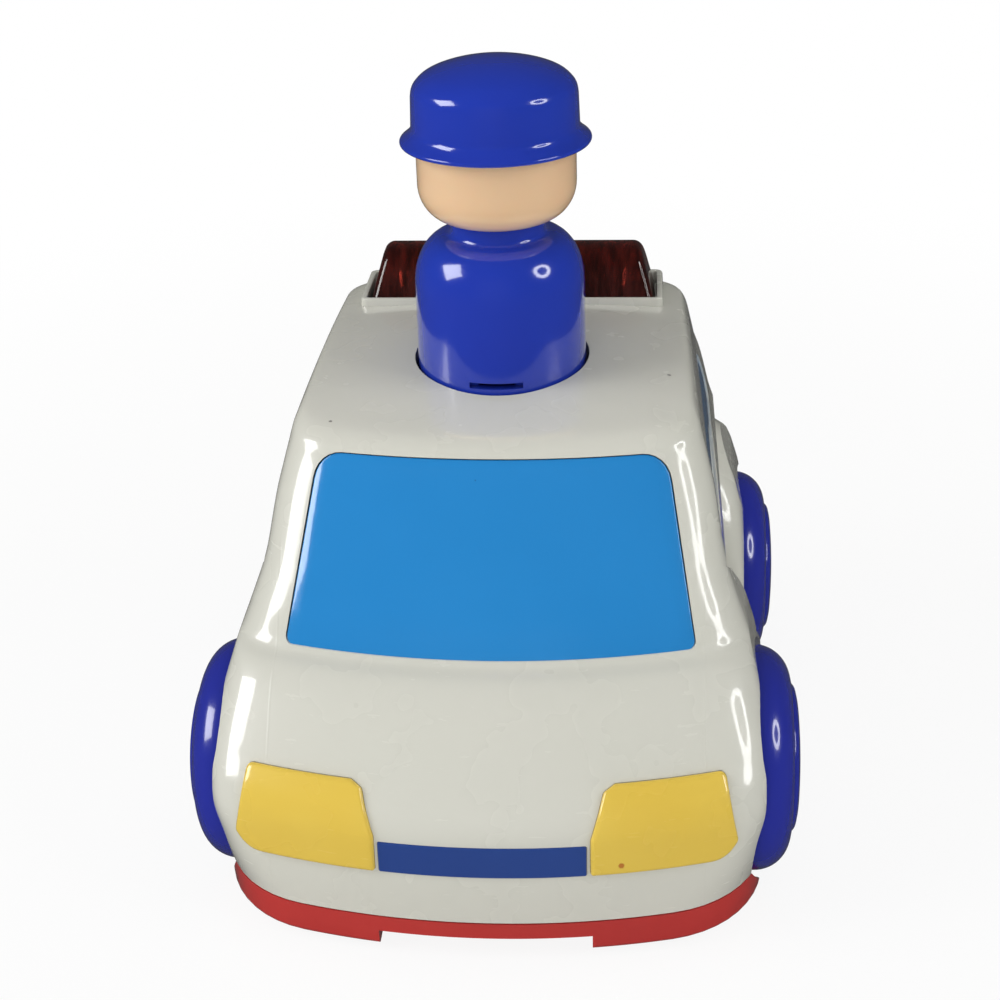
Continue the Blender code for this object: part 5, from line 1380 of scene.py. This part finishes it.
@dataclass
class BodyMoulding:
    """The white upper moulding with its windows and nose pieces."""

    form: BodyForm
    wheels: WheelPlan
    fenders: Fenders
    openings: Openings
    bar: LightBar
    wall: float = 2.2 * MM
    base_bottom: float = 1.4 * MM
    hole_y: float = 8.8 * MM
    hole_radius: float = 16.9 * MM
    collar_wall: float = 1.9 * MM
    collar_bottom: float = 60.3 * MM
    collar_top: float = 86.0 * MM
    hole_bottom: float = 21.0 * MM
    pane_depths: tuple[float, ...] = (17.5 * MM, 30.0 * MM, 18.1 * MM, 18.1 * MM)
    post_inset: float = 6.4 * MM
    post_x: float = 24.0 * MM
    post_radius: float = 3.4 * MM
    post_top: float = 30.0 * MM
    lamp_floor: float = 1.1 * MM

    def posts(self) -> list[Point2]:
        """Where the screw posts stand."""
        inset = self.form.half_length - self.post_inset
        return [(x, y) for y in (-inset, inset) for x in (-self.post_x, self.post_x)]

    def rod(self, x: float, y: float, low: float, high: float, radius: float,
            segments: int = 24) -> bpy.types.Object:
        """An upright round tool."""
        outline = arc((x, y), radius, 0.0, 360.0 - 360.0 / segments, segments - 1)
        return prism("rod", outline, low, high, Facing.TOP)

    def hollow(self) -> bpy.types.Object:
        """The moulding's inside."""
        inside = self.form.solid("inside", self.wall, self.base_bottom, 2, 2)
        tools = [self.fenders.door_recess(side, self.wall, 16) for side in Side]
        tools += [self.wheels.well(y, side, self.wheels.wall)
                  for y in self.wheels.axles().values() for side in Side]
        tools.append(self.rod(0.0, self.hole_y, self.collar_bottom, self.collar_top,
                              self.hole_radius + self.collar_wall, 64))
        seat = prism("bar_seat", self.bar.rim_outline(self.bar.rim_width),
                     self.bar.seat_z - self.wall, self.bar.top, Facing.TOP)
        tools.append(seat)
        tools += [self.rod(x, y, -OVERRUN, self.post_top, self.post_radius)
                  for x, y in self.posts()]
        return cut(inside, tools)

    def build(self) -> None:
        """Makes the moulding and everything set into it."""
        blank = self.form.solid("form")
        mesh = blank.data
        tree = BVHTree.FromPolygons([v.co for v in mesh.vertices],
                                    [p.vertices[:] for p in mesh.polygons])
        shell = blank
        shell.name = "body_moulding"
        tools = [self.fenders.door_recess(side, 0.0) for side in Side]
        tools.append(self.hollow())
        for y in self.wheels.axles().values():
            for side in Side:
                tools += [self.wheels.well(y, side, 0.0), self.wheels.axle_slot(y, side, False)]
        tools.append(self.rod(0.0, self.hole_y, self.hole_bottom, self.bar.top,
                              self.hole_radius, 96))
        tools.append(prism("bar_recess", self.bar.rim_outline(0.0), self.bar.seat_z,
                           self.bar.top + OVERRUN, Facing.TOP))
        reach = self.form.half_length + OVERRUN
        tools += [pane.cutter(0.0, depth, reach)
                  for pane, depth in zip(self.openings.windows(), self.pane_depths)]
        cut(shell, tools)
        self._nose(shell)
        finish_piece(shell, "white_body", Body.CAR, ["body_shell"])
        nodes = {"windscreen": "windscreen_pane", "rear_window": "rear_pane",
                 "side_window_left": "side_pane_left", "side_window_right": "side_pane_right"}
        for pane in self.openings.windows():
            finish_piece(pane.build(tree), pane.slot, Body.CAR, [nodes[pane.name]], 50.0)
        names = {"nose_badge_strip": "nose_strip", "lamp_left": "headlight_left",
                 "lamp_right": "headlight_right"}
        for piece in self.openings.nose_pieces():
            made = piece.build(tree)
            cut(made, [self.wheels.well(self.wheels.front_y, side, SEAT_GAP) for side in Side])
            finish_piece(made, piece.slot, Body.CAR, [names[piece.name]], 50.0)

    def _nose(self, shell: bpy.types.Object) -> None:
        """Cuts the shallow recesses of the lamps and the strip."""
        for piece in self.openings.nose_pieces():
            floor = self.form.solid("floor", self.lamp_floor, self.base_bottom, 3, 3)
            recess = cut(piece.cutter(0.0, 0.0, self.form.half_length + OVERRUN), [floor])
            cut(shell, [recess])


@dataclass
class BasePan:
    """The red lower moulding; the spring's seat and post are given as radius and top."""

    body: BodyMoulding
    edge: float = 1.4 * MM
    notch_half: float = 19.1 * MM
    notch_height: float = 3.4 * MM
    notch_depth: float = 7.0 * MM
    boss_radius: float = 4.4 * MM
    head_radius: float = 3.0 * MM
    spring_y: float = 0.2 * MM
    screw_radius: float = 1.6 * MM
    seat: Point2 = (5.0 * MM, 7.4 * MM)
    post: Point2 = (3.2 * MM, 16.4 * MM)
    saddle_foot: float = 9.0 * MM
    saddle_head: float = 4.5 * MM

    def blank(self, inset: float, low: float) -> bpy.types.Object:
        """The base's outline as a solid: the body's lowest ring and the fenders' feet."""
        form = self.body.form
        ring = form.ring_points(form.rings()[0], 5)
        edge = 0.0 if inset > SEAT_GAP else self.edge
        top = form.seam_z + (OVERRUN if inset > SEAT_GAP else 0.0)
        sections = [(low + edge * (1.0 - cos(a)), edge * (1.0 - sin(a)))
                    for a in (pi / 2.0 * k / 5 for k in range(6))] if edge else [(low, 0.0)]
        sections.append((top, 0.0))
        count = len(ring)
        normals = []
        for i in range(count):
            run = ring[(i + 1) % count] - ring[i - 1]
            normals.append(Vector((run.y, -run.x, 0.0)).normalized())
        rings = [[Vector((p.x, p.y, z)) - n * (inset + shrink) for p, n in zip(ring, normals)]
                 for z, shrink in sections]
        made = skin("base_blank", rings)
        return cut(made, [self.body.fenders.door_recess(side, inset, 32) for side in Side])

    def saddle(self, axle_y: float, side: Side) -> bpy.types.Object:
        """An upright rib beside a wheel well, that the axle lies on."""
        wheels = self.body.wheels
        inner = wheels.tyre_outer - wheels.width - wheels.side_gap - wheels.wall - SEAT_GAP
        floor, top = self.body.base_bottom + self.body.wall / 2.0, wheels.radius + self.saddle_head
        outline = [(axle_y - self.saddle_foot, floor), (axle_y + self.saddle_foot, floor),
                   (axle_y + self.saddle_head, top), (axle_y - self.saddle_head, top)]
        ends = sorted((side.value * (inner - wheels.wall), side.value * inner))
        return prism("saddle", outline, ends[0], ends[1], Facing.SIDE)

    def build(self) -> None:
        """Makes the pan."""
        body, wheels = self.body, self.body.wheels
        low, nose = body.base_bottom, -body.form.half_length
        pan = self.blank(0.0, low)
        pan.name = "base_moulding"
        hollow = self.blank(body.wall, low + body.wall)
        notch_top = low + self.notch_height
        wall = body.wall
        backing = [wheels.well(y, side, wheels.wall)
                   for y in wheels.axles().values() for side in Side]
        backing.append(block("backing", (-self.notch_half - wall, nose - OVERRUN, -OVERRUN),
                             (self.notch_half + wall, nose + self.notch_depth + wall,
                              notch_top + wall)))
        backing += [body.rod(x, y, -OVERRUN, 2.0 * body.form.seam_z, self.boss_radius)
                    for x, y in body.posts()]
        cut(pan, [cut(hollow, backing),
                  block("notch", (-self.notch_half, nose - OVERRUN, -OVERRUN),
                        (self.notch_half, nose + self.notch_depth, notch_top))])
        for y in wheels.axles().values():
            for side in Side:
                cut(pan, [wheels.well(y, side, 0.0)])
                cut(pan, [self.saddle(y, side)], "UNION")
                cut(pan, [wheels.axle_slot(y, side, True)])
        cut(pan, [body.rod(x, y, -OVERRUN, low + wall, self.head_radius) for x, y in body.posts()]
            + [body.rod(x, y, -OVERRUN, OVERRUN, self.screw_radius) for x, y in body.posts()])
        for radius, top in (self.seat, self.post):
            cut(pan, [body.rod(0.0, self.spring_y, low + wall / 2.0, top, radius)], "UNION")
        finish_piece(pan, "red_base", Body.CAR, ["base_pan"])


@dataclass
class Wheel:
    """One moulded wheel with a proud round-edged hub."""

    plan: WheelPlan
    segments: int = 112
    shoulder: float = 6.6 * MM
    hub_radius: float = 14.1 * MM
    hub_edge: float = 1.6 * MM
    hub_dome: float = 0.9 * MM
    skin_wall: float = 4.0 * MM
    core_depth: float = 6.0 * MM
    core_radius: float = 4.2 * MM
    bore: float = AXLE_BORE
    face_wall: float = 3.0 * MM

    def profile(self) -> Outline:
        """The wheel's closed section, from the hub's middle round the tyre to the bore."""
        outer, tyre = self.plan.hub_outer, self.plan.tyre_outer
        inner, radius = tyre - self.plan.width, self.plan.radius
        points = [(0.0, outer)]
        points += [(self.hub_radius * s, outer - self.hub_dome * s * s)
                   for s in (0.25, 0.5, 0.7, 0.84)]
        edge = (self.hub_radius - self.hub_edge, outer - self.hub_dome * 0.9 - self.hub_edge)
        points += arc(edge, self.hub_edge, 80.0, 8.0, 6)
        points += [(self.hub_radius + out * MM, tyre - down * MM)
                   for out, down in ((0.05, 0.1), (0.2, 0.32))]
        rim = (radius - self.shoulder, tyre - self.shoulder)
        points += arc(rim, self.shoulder, 87.0, 0.0, 14)
        points += [(radius, inner + 1.6 * MM)]
        points += arc((radius - 1.2 * MM, inner + 1.2 * MM), 1.2 * MM, 0.0, -90.0, 5)
        core, seat = tyre - self.core_depth, outer - self.face_wall
        ring = radius - self.skin_wall
        points += [(ring, inner), (ring - 0.4 * MM, core), (self.core_radius, core),
                   (self.core_radius, inner), (self.bore, inner), (self.bore, seat), (0.0, seat)]
        return points

    def build(self) -> None:
        """Makes the four wheels."""
        for place, axle_y in self.plan.axles().items():
            body = Body.FRONT_WHEELS if place == "front" else Body.REAR_WHEELS
            for side in Side:
                tag = f"{place}_{side.name.lower()}"
                tuck = 0.0 if place == "front" else -side.value * self.plan.rear_tuck
                middle = Vector((tuck, axle_y, self.plan.radius))
                wheel = lathe(f"{tag}_wheel", self.profile(), middle,
                              Vector((side.value, 0.0, 0.0)), self.segments)
                finish_piece(wheel, "wheel_blue", body, [f"wheel_{tag}"])


@dataclass
class Figure:
    """The pressed figure: torso, plain head and domed cap."""

    y: float = 8.8 * MM
    segments: int = 128
    torso_radius: float = 16.4 * MM
    shoulder_radius: float = 16.15 * MM
    bottom: float = 58.0 * MM
    shoulder_z: float = 100.6 * MM
    shoulder_top: Point2 = (10.0 * MM, 110.0 * MM)
    neck: Point2 = (8.9 * MM, 113.0 * MM)
    collar: tuple[Point2, ...] = ((0.05, 1.0), (0.1, 1.8), (0.25, 2.4), (0.5, 2.75), (0.8, 2.93))
    wall: float = 2.0 * MM
    bore: float = 5.9 * MM
    flange: Point2 = (1.7 * MM, 2.0 * MM)
    slot_half: float = 5.0 * MM
    slot_z: Point2 = (84.8 * MM, 86.0 * MM)
    slot_depth: float = 2.6 * MM
    head_radius: float = 14.8 * MM
    head_low: float = 113.3 * MM
    head_round_z: float = 120.0 * MM
    head_top: float = 130.2 * MM
    chin_radius: float = 8.8 * MM
    peg_radius: float = 5.6 * MM
    peg_length: float = 7.0 * MM
    brim: Point2 = (17.6 * MM, 127.5 * MM)
    join: Point2 = (15.5 * MM, 130.7 * MM)
    crown_radius: float = 15.3 * MM
    crown: tuple[Point2, ...] = (
        (0.0, 142.7), (0.25, 142.5), (0.5, 141.85), (0.7, 140.95), (0.8, 140.3), (0.87, 139.65),
        (0.93, 138.8), (0.97, 138.0), (0.99, 137.2), (1.0, 136.2))
    flare: tuple[Point2, ...] = ((0.08, 0.35), (0.25, 0.7), (0.55, 1.1), (0.95, 1.5), (1.4, 1.9))
    lip: float = 0.5 * MM
    cap_wall: float = 1.6 * MM
    plug_length: float = 4.0 * MM

    @staticmethod
    def quarter(near: Point2, far: Point2, steps: int) -> Outline:
        """Points between two profile corners on a quarter ellipse, level at the near one."""
        angles = [pi / 2.0 * k / steps for k in range(1, steps)]
        return [(between(near[0], far[0], sin(a)), between(far[1], near[1], cos(a)))
                for a in angles]

    def _turned(self, name: str, profile: Outline) -> bpy.types.Object:
        """A profile spun round the figure's own axis."""
        foot = Vector((0.0, self.y, 0.0))
        return lathe(name, profile, foot, Vector((0.0, 0.0, 1.0)), self.segments)

    def torso(self) -> bpy.types.Object:
        """The hollow torso with its neck collar and the catch slot."""
        radius, wall = self.torso_radius, self.wall
        shoulder = (self.shoulder_radius, self.shoulder_z)
        under = self.shoulder_top[1] - wall
        collar = [(self.neck[0] + out * MM, self.neck[1] - down * MM) for out, down in self.collar]
        flange = self.bottom + self.flange[1]
        foot = radius + self.flange[0]
        profile = [self.neck] + collar + [self.shoulder_top]
        profile += self.quarter(self.shoulder_top, shoulder, 12) + [shoulder]
        profile += [(between(shoulder[0], radius, s), between(shoulder[1], flange, s))
                    for s in (0.3, 0.6)]
        profile += [(radius, flange), (foot, flange), (foot, self.bottom)]
        profile += [(radius - wall, self.bottom), (shoulder[0] - wall, shoulder[1])]
        profile += [(self.shoulder_top[0] - wall, under), (self.bore, under),
                    (self.bore, self.neck[1])]
        made = self._turned("torso", profile)
        front = self.y - radius
        slot = block("slot", (-self.slot_half, front - OVERRUN, self.slot_z[0]),
                     (self.slot_half, front + self.slot_depth, self.slot_z[1]))
        return cut(made, [slot])

    def head(self) -> bpy.types.Object:
        """The plain head."""
        radius, low, wall = self.head_radius, self.head_low, self.wall
        chin = (self.chin_radius, low)
        side = (radius, self.head_round_z)
        profile = [(radius, self.head_top), side]
        profile += list(reversed(self.quarter(chin, side, 14))) + [chin]
        peg, peg_end = self.peg_radius, low - self.peg_length
        profile += [(peg, low), (peg, peg_end), (peg - wall, peg_end), (peg - wall, low + wall),
                    (radius - 2.0 * wall, low + wall),
                    (radius - wall, self.head_round_z), (radius - wall, self.head_top)]
        return self._turned("head", profile)

    def cap(self) -> bpy.types.Object:
        """The cap: domed top, upright band and a brim that flares all round."""
        crown = self.crown_radius
        dome = [(crown * share, z * MM) for share, z in smooth_values(self.crown, 3)]
        inner, inside_top = self.head_radius + SEAT_GAP, self.head_top + SEAT_GAP
        plug = self.head_radius - self.wall - SEAT_GAP
        profile = dome + [(between(crown, self.join[0], s), between(dome[-1][1], self.join[1], s))
                          for s in (0.5, 0.9, 1.0)]
        profile += [(self.join[0] + out * MM, self.join[1] - down * MM)
                    for out, down in self.flare]
        edge, low = self.brim
        profile += arc((edge - 0.45 * MM, low + self.lip), self.lip, 60.0, -80.0, 8)
        profile += [(inner + 0.4 * MM, low), (inner, low + 0.3 * MM), (inner, inside_top)]
        low, bore = inside_top - self.plug_length, plug - self.cap_wall
        top = dome[0][1] - self.cap_wall
        profile += [(plug, inside_top), (plug, low), (bore, low), (bore, top - 2.0 * MM),
                    (0.4 * crown, top - 0.6 * MM), (0.0, top)]
        return self._turned("cap", profile)

    def build(self) -> None:
        """Makes the figure."""
        finish_piece(self.torso(), "deep_blue_figure", Body.FIGURE, ["figure_torso"])
        finish_piece(self.head(), "peach_head", Body.FIGURE, ["figure_head"])
        finish_piece(self.cap(), "deep_blue_figure", Body.FIGURE, ["figure_cap"])


@dataclass
class Spring:
    """The return spring between the base's seat and the plunger."""

    y: float = 0.2 * MM
    radius: float = 4.0 * MM
    wire: float = 0.5 * MM
    low: float = 8.2 * MM
    high: float = 57.2 * MM
    turns: int = 8
    travel: float = 17.0 * MM
    around: int = 28
    sides: int = 10

    def build(self) -> None:
        """Makes the coil."""
        count = self.turns * self.around
        rings = []
        for i in range(count + 1):
            turn = 2.0 * pi * i / self.around
            middle = Vector((self.radius * cos(turn), self.y + self.radius * sin(turn),
                             between(self.low, self.high, i / count)))
            out = Vector((cos(turn), sin(turn), 0.0))
            rings.append([middle + self.wire * (out * cos(a) + Vector((0, 0, 1)) * sin(a))
                          for a in (2.0 * pi * k / self.sides for k in range(self.sides))])
        coil = finish_piece(skin("coil_spring", rings), "spring_steel", Body.CAR,
                            ["return_spring"])
        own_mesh(coil)


@dataclass
class Drive:
    """The gears, gearbox, axles and screws, whose solids stay and get their finishes."""

    frame: dict
    nodes: dict[str, str] = field(default_factory=lambda: {
        "plunger_rack": "grey_gear", "winding_gear": "grey_gear", "clutch_gear": "grey_gear",
        "axle_gear": "grey_gear", "gearbox_frame": "black_gearbox",
        "gearbox_cover": "black_gearbox",
        "front_axle": "axle_steel", "rear_axle": "axle_steel"})

    def build(self) -> None:
        """Dresses the solids."""
        screws = {name: "axle_steel" for name in self.frame["nodes"] if "screw" in name}
        for name, slot in {**self.nodes, **screws}.items():
            node = self.frame["nodes"][name]
            node.data.materials.clear()
            node.data.materials.append(PAINT.get(slot))
            log.info("%s: finish %s", name, slot)


# Studio


@dataclass
class Studio:
    """Floor, lamps, world and camera."""

    focal_px: float = 1793.3
    frame_px: float = 1000.0
    yaw: float = -0.0884677
    pitch: float = 0.4776349
    roll: float = 0.0329868
    place: tuple[float, float, float] = (27.065 * MM, -311.939 * MM, 219.969 * MM)
    floor_glow: float = 0.9
    floor_shine: float = 0.06
    room_light: float = 0.42
    room_shine: float = 0.05
    floor_fade: Point2 = (0.12, 0.4)
    aim: ClassVar[Vector] = Vector((0.0, 0.0, 0.06))
    near: float = 1.1
    far: float = 1.3

    def camera(self) -> None:
        """Sets the camera at the photograph's angle."""
        data = bpy.data.cameras.new("camera")
        data.sensor_width = 36.0
        data.lens = self.focal_px / self.frame_px * data.sensor_width
        data.clip_start = 0.01
        eye = bpy.data.objects.new("camera", data)
        bpy.context.scene.collection.objects.link(eye)
        ahead = Vector((sin(self.yaw) * cos(self.pitch), cos(self.yaw) * cos(self.pitch),
                        -sin(self.pitch)))
        level = Vector((cos(self.yaw), -sin(self.yaw), 0.0))
        down = ahead.cross(level)
        right = level * cos(self.roll) + down * sin(self.roll)
        down = -level * sin(self.roll) + down * cos(self.roll)
        turn = Matrix((right, -down, -ahead)).transposed()
        eye.matrix_world = Matrix.Translation(Vector(self.place)) @ turn.to_4x4()
        bpy.context.scene.camera = eye

    def world(self) -> None:
        """Even room light, dim in reflections and white where the lens looks past the floor."""
        world = bpy.data.worlds.new("room")
        world.use_nodes = True
        bpy.context.scene.world = world
        tree = world.node_tree
        path = tree.nodes.new("ShaderNodeLightPath")
        color: bpy.types.NodeSocket | None = None
        for ray, before, after in (("Is Glossy Ray", self.room_light, self.room_shine),
                                   ("Is Camera Ray", self.room_light, 1.0)):
            mix = tree.nodes.new("ShaderNodeMix")
            mix.data_type = "RGBA"
            tree.links.new(path.outputs[ray], mix.inputs[0])
            if color:
                tree.links.new(color, mix.inputs[6])
            else:
                mix.inputs[6].default_value = (before, before, before, 1.0)
            mix.inputs[7].default_value = (after, after, after, 1.0)
            color = mix.outputs[2]
        tree.links.new(color, tree.nodes["Background"].inputs["Color"])

    def floor(self) -> None:
        """A pale floor that keeps a light shadow."""
        shape = bmesh.new()
        bmesh.ops.create_grid(shape, x_segments=1, y_segments=1, size=3.0)
        plane = new_object("floor", shape)
        graph = ShaderGraph("pale_floor")
        grain = graph.noise(graph.place(), 60.0, 2.0)
        graph.surface(Base_Color=graph.mix(grain, (0.90, 0.90, 0.89), (0.92, 0.92, 0.91)),
                      Roughness=0.6)
        tree = graph.tree
        path = tree.nodes.new("ShaderNodeLightPath")
        ray = {kind: Signal(graph, path.outputs[f"Is {kind} Ray"])
               for kind in ("Camera", "Glossy", "Transmission")}
        far = graph.distance(graph.place(), (0.0, 0.0, 0.0)).band(*self.floor_fade)
        seen = ray["Camera"].at_least(ray["Transmission"])
        socket = graph.shader.outputs[0]
        for strength, factor in ((self.floor_shine, ray["Glossy"]),
                                 (1.0, seen * (self.floor_glow + (1.0 - self.floor_glow) * far))):
            glow = tree.nodes.new("ShaderNodeEmission")
            glow.inputs["Strength"].default_value = strength
            blend = tree.nodes.new("ShaderNodeMixShader")
            graph.feed(blend.inputs[0], factor)
            tree.links.new(socket, blend.inputs[1])
            tree.links.new(glow.outputs[0], blend.inputs[2])
            socket = blend.outputs[0]
        tree.links.new(socket, tree.nodes["Material Output"].inputs["Surface"])
        plane.data.materials.append(graph.material)

    def hung(self, direction: Sequence[float], distance: float) -> Vector:
        """A place at a distance from the car: azimuth from the nose and height in degrees."""
        azimuth, height = radians(direction[0]), radians(direction[1])
        way = Vector((sin(azimuth) * cos(height), -cos(azimuth) * cos(height), sin(height)))
        return self.aim + way * distance

    def lamp(self, name: str, place: Vector, size: float, power: float, roll: float = 0.0,
             mirrored: bool = True) -> None:
        """One square lamp that faces the car.

        Args:
            name: The lamp's name.
            place: Where it hangs.
            size: Its side, in metres.
            power: Its power in watts.
            roll: Its turn about its own axis, in degrees.
            mirrored: Whether glossy surfaces show it.
        """
        data = bpy.data.lights.new(name, "AREA")
        data.shape = "SQUARE"
        data.size = size
        data.energy = power
        made = bpy.data.objects.new(name, data)
        made.visible_glossy = mirrored
        way = self.aim - place
        turn = way.to_track_quat("-Z", "Y").to_matrix() @ Matrix.Rotation(radians(roll), 3, "Z")
        made.matrix_world = Matrix.Translation(place) @ turn.to_4x4()
        bpy.context.scene.collection.objects.link(made)

    def ring_lamp(self, place: Vector, radius: float, tube: float, strength: float) -> None:
        """A glowing hoop that faces the car."""
        way = (self.aim - place).normalized()
        turn = way.to_track_quat("Z", "Y").to_matrix()
        rings = []
        for i in range(48):
            a = 2.0 * pi * i / 48
            out = turn @ Vector((cos(a), sin(a), 0.0))
            rings.append([place + out * (radius + tube * cos(b)) + way * tube * sin(b)
                          for b in (2.0 * pi * k / 10 for k in range(10))])
        hoop = skin("ring_lamp", rings, close=True)
        graph = ShaderGraph("ring_lamp_glow")
        graph.surface(Base_Color=(1.0, 1.0, 1.0), Emission_Color=(1.0, 1.0, 1.0),
                      Emission_Strength=strength)
        hoop.data.materials.append(graph.material)
        hoop.visible_camera = False

    def build(self) -> None:
        """Sets up the studio."""
        self.camera()
        self.world()
        self.floor()
        self.lamp("window_light", self.hung((-73.0, 30.0), self.near), 0.5, 5.5, 45.0)
        self.ring_lamp(self.hung((72.0, 30.0), self.near), 0.19, 0.05, 7.0)
        self.lamp("front_light", self.hung((-5.0, 10.0), self.far), 1.0, 4.0, mirrored=False)
        self.lamp("ceiling_light", self.hung((0.0, 89.0), self.far), 1.4, 1.5, mirrored=False)
        bpy.context.scene.view_settings.view_transform = "Standard"


def corners(box: tuple[Vector, Vector]) -> list[list[float]]:
    """A box's corners as plain lists."""
    return [list(corner) for corner in box]


def main() -> None:
    """Builds the whole visual model."""
    logging.basicConfig(level=logging.INFO, format="%(name)s: %(message)s")
    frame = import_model()
    Studio().build()
    form = BodyForm()
    wheels = WheelPlan()
    bar = LightBar(form)
    body = BodyMoulding(form, wheels, Fenders(form, wheels), Openings(form), bar)
    body.build()
    BasePan(body).build()
    bar.build()
    Wheel(wheels).build()
    Figure().build()
    Spring().build()
    Drive(frame).build()


if __name__ == "__main__":
    main()
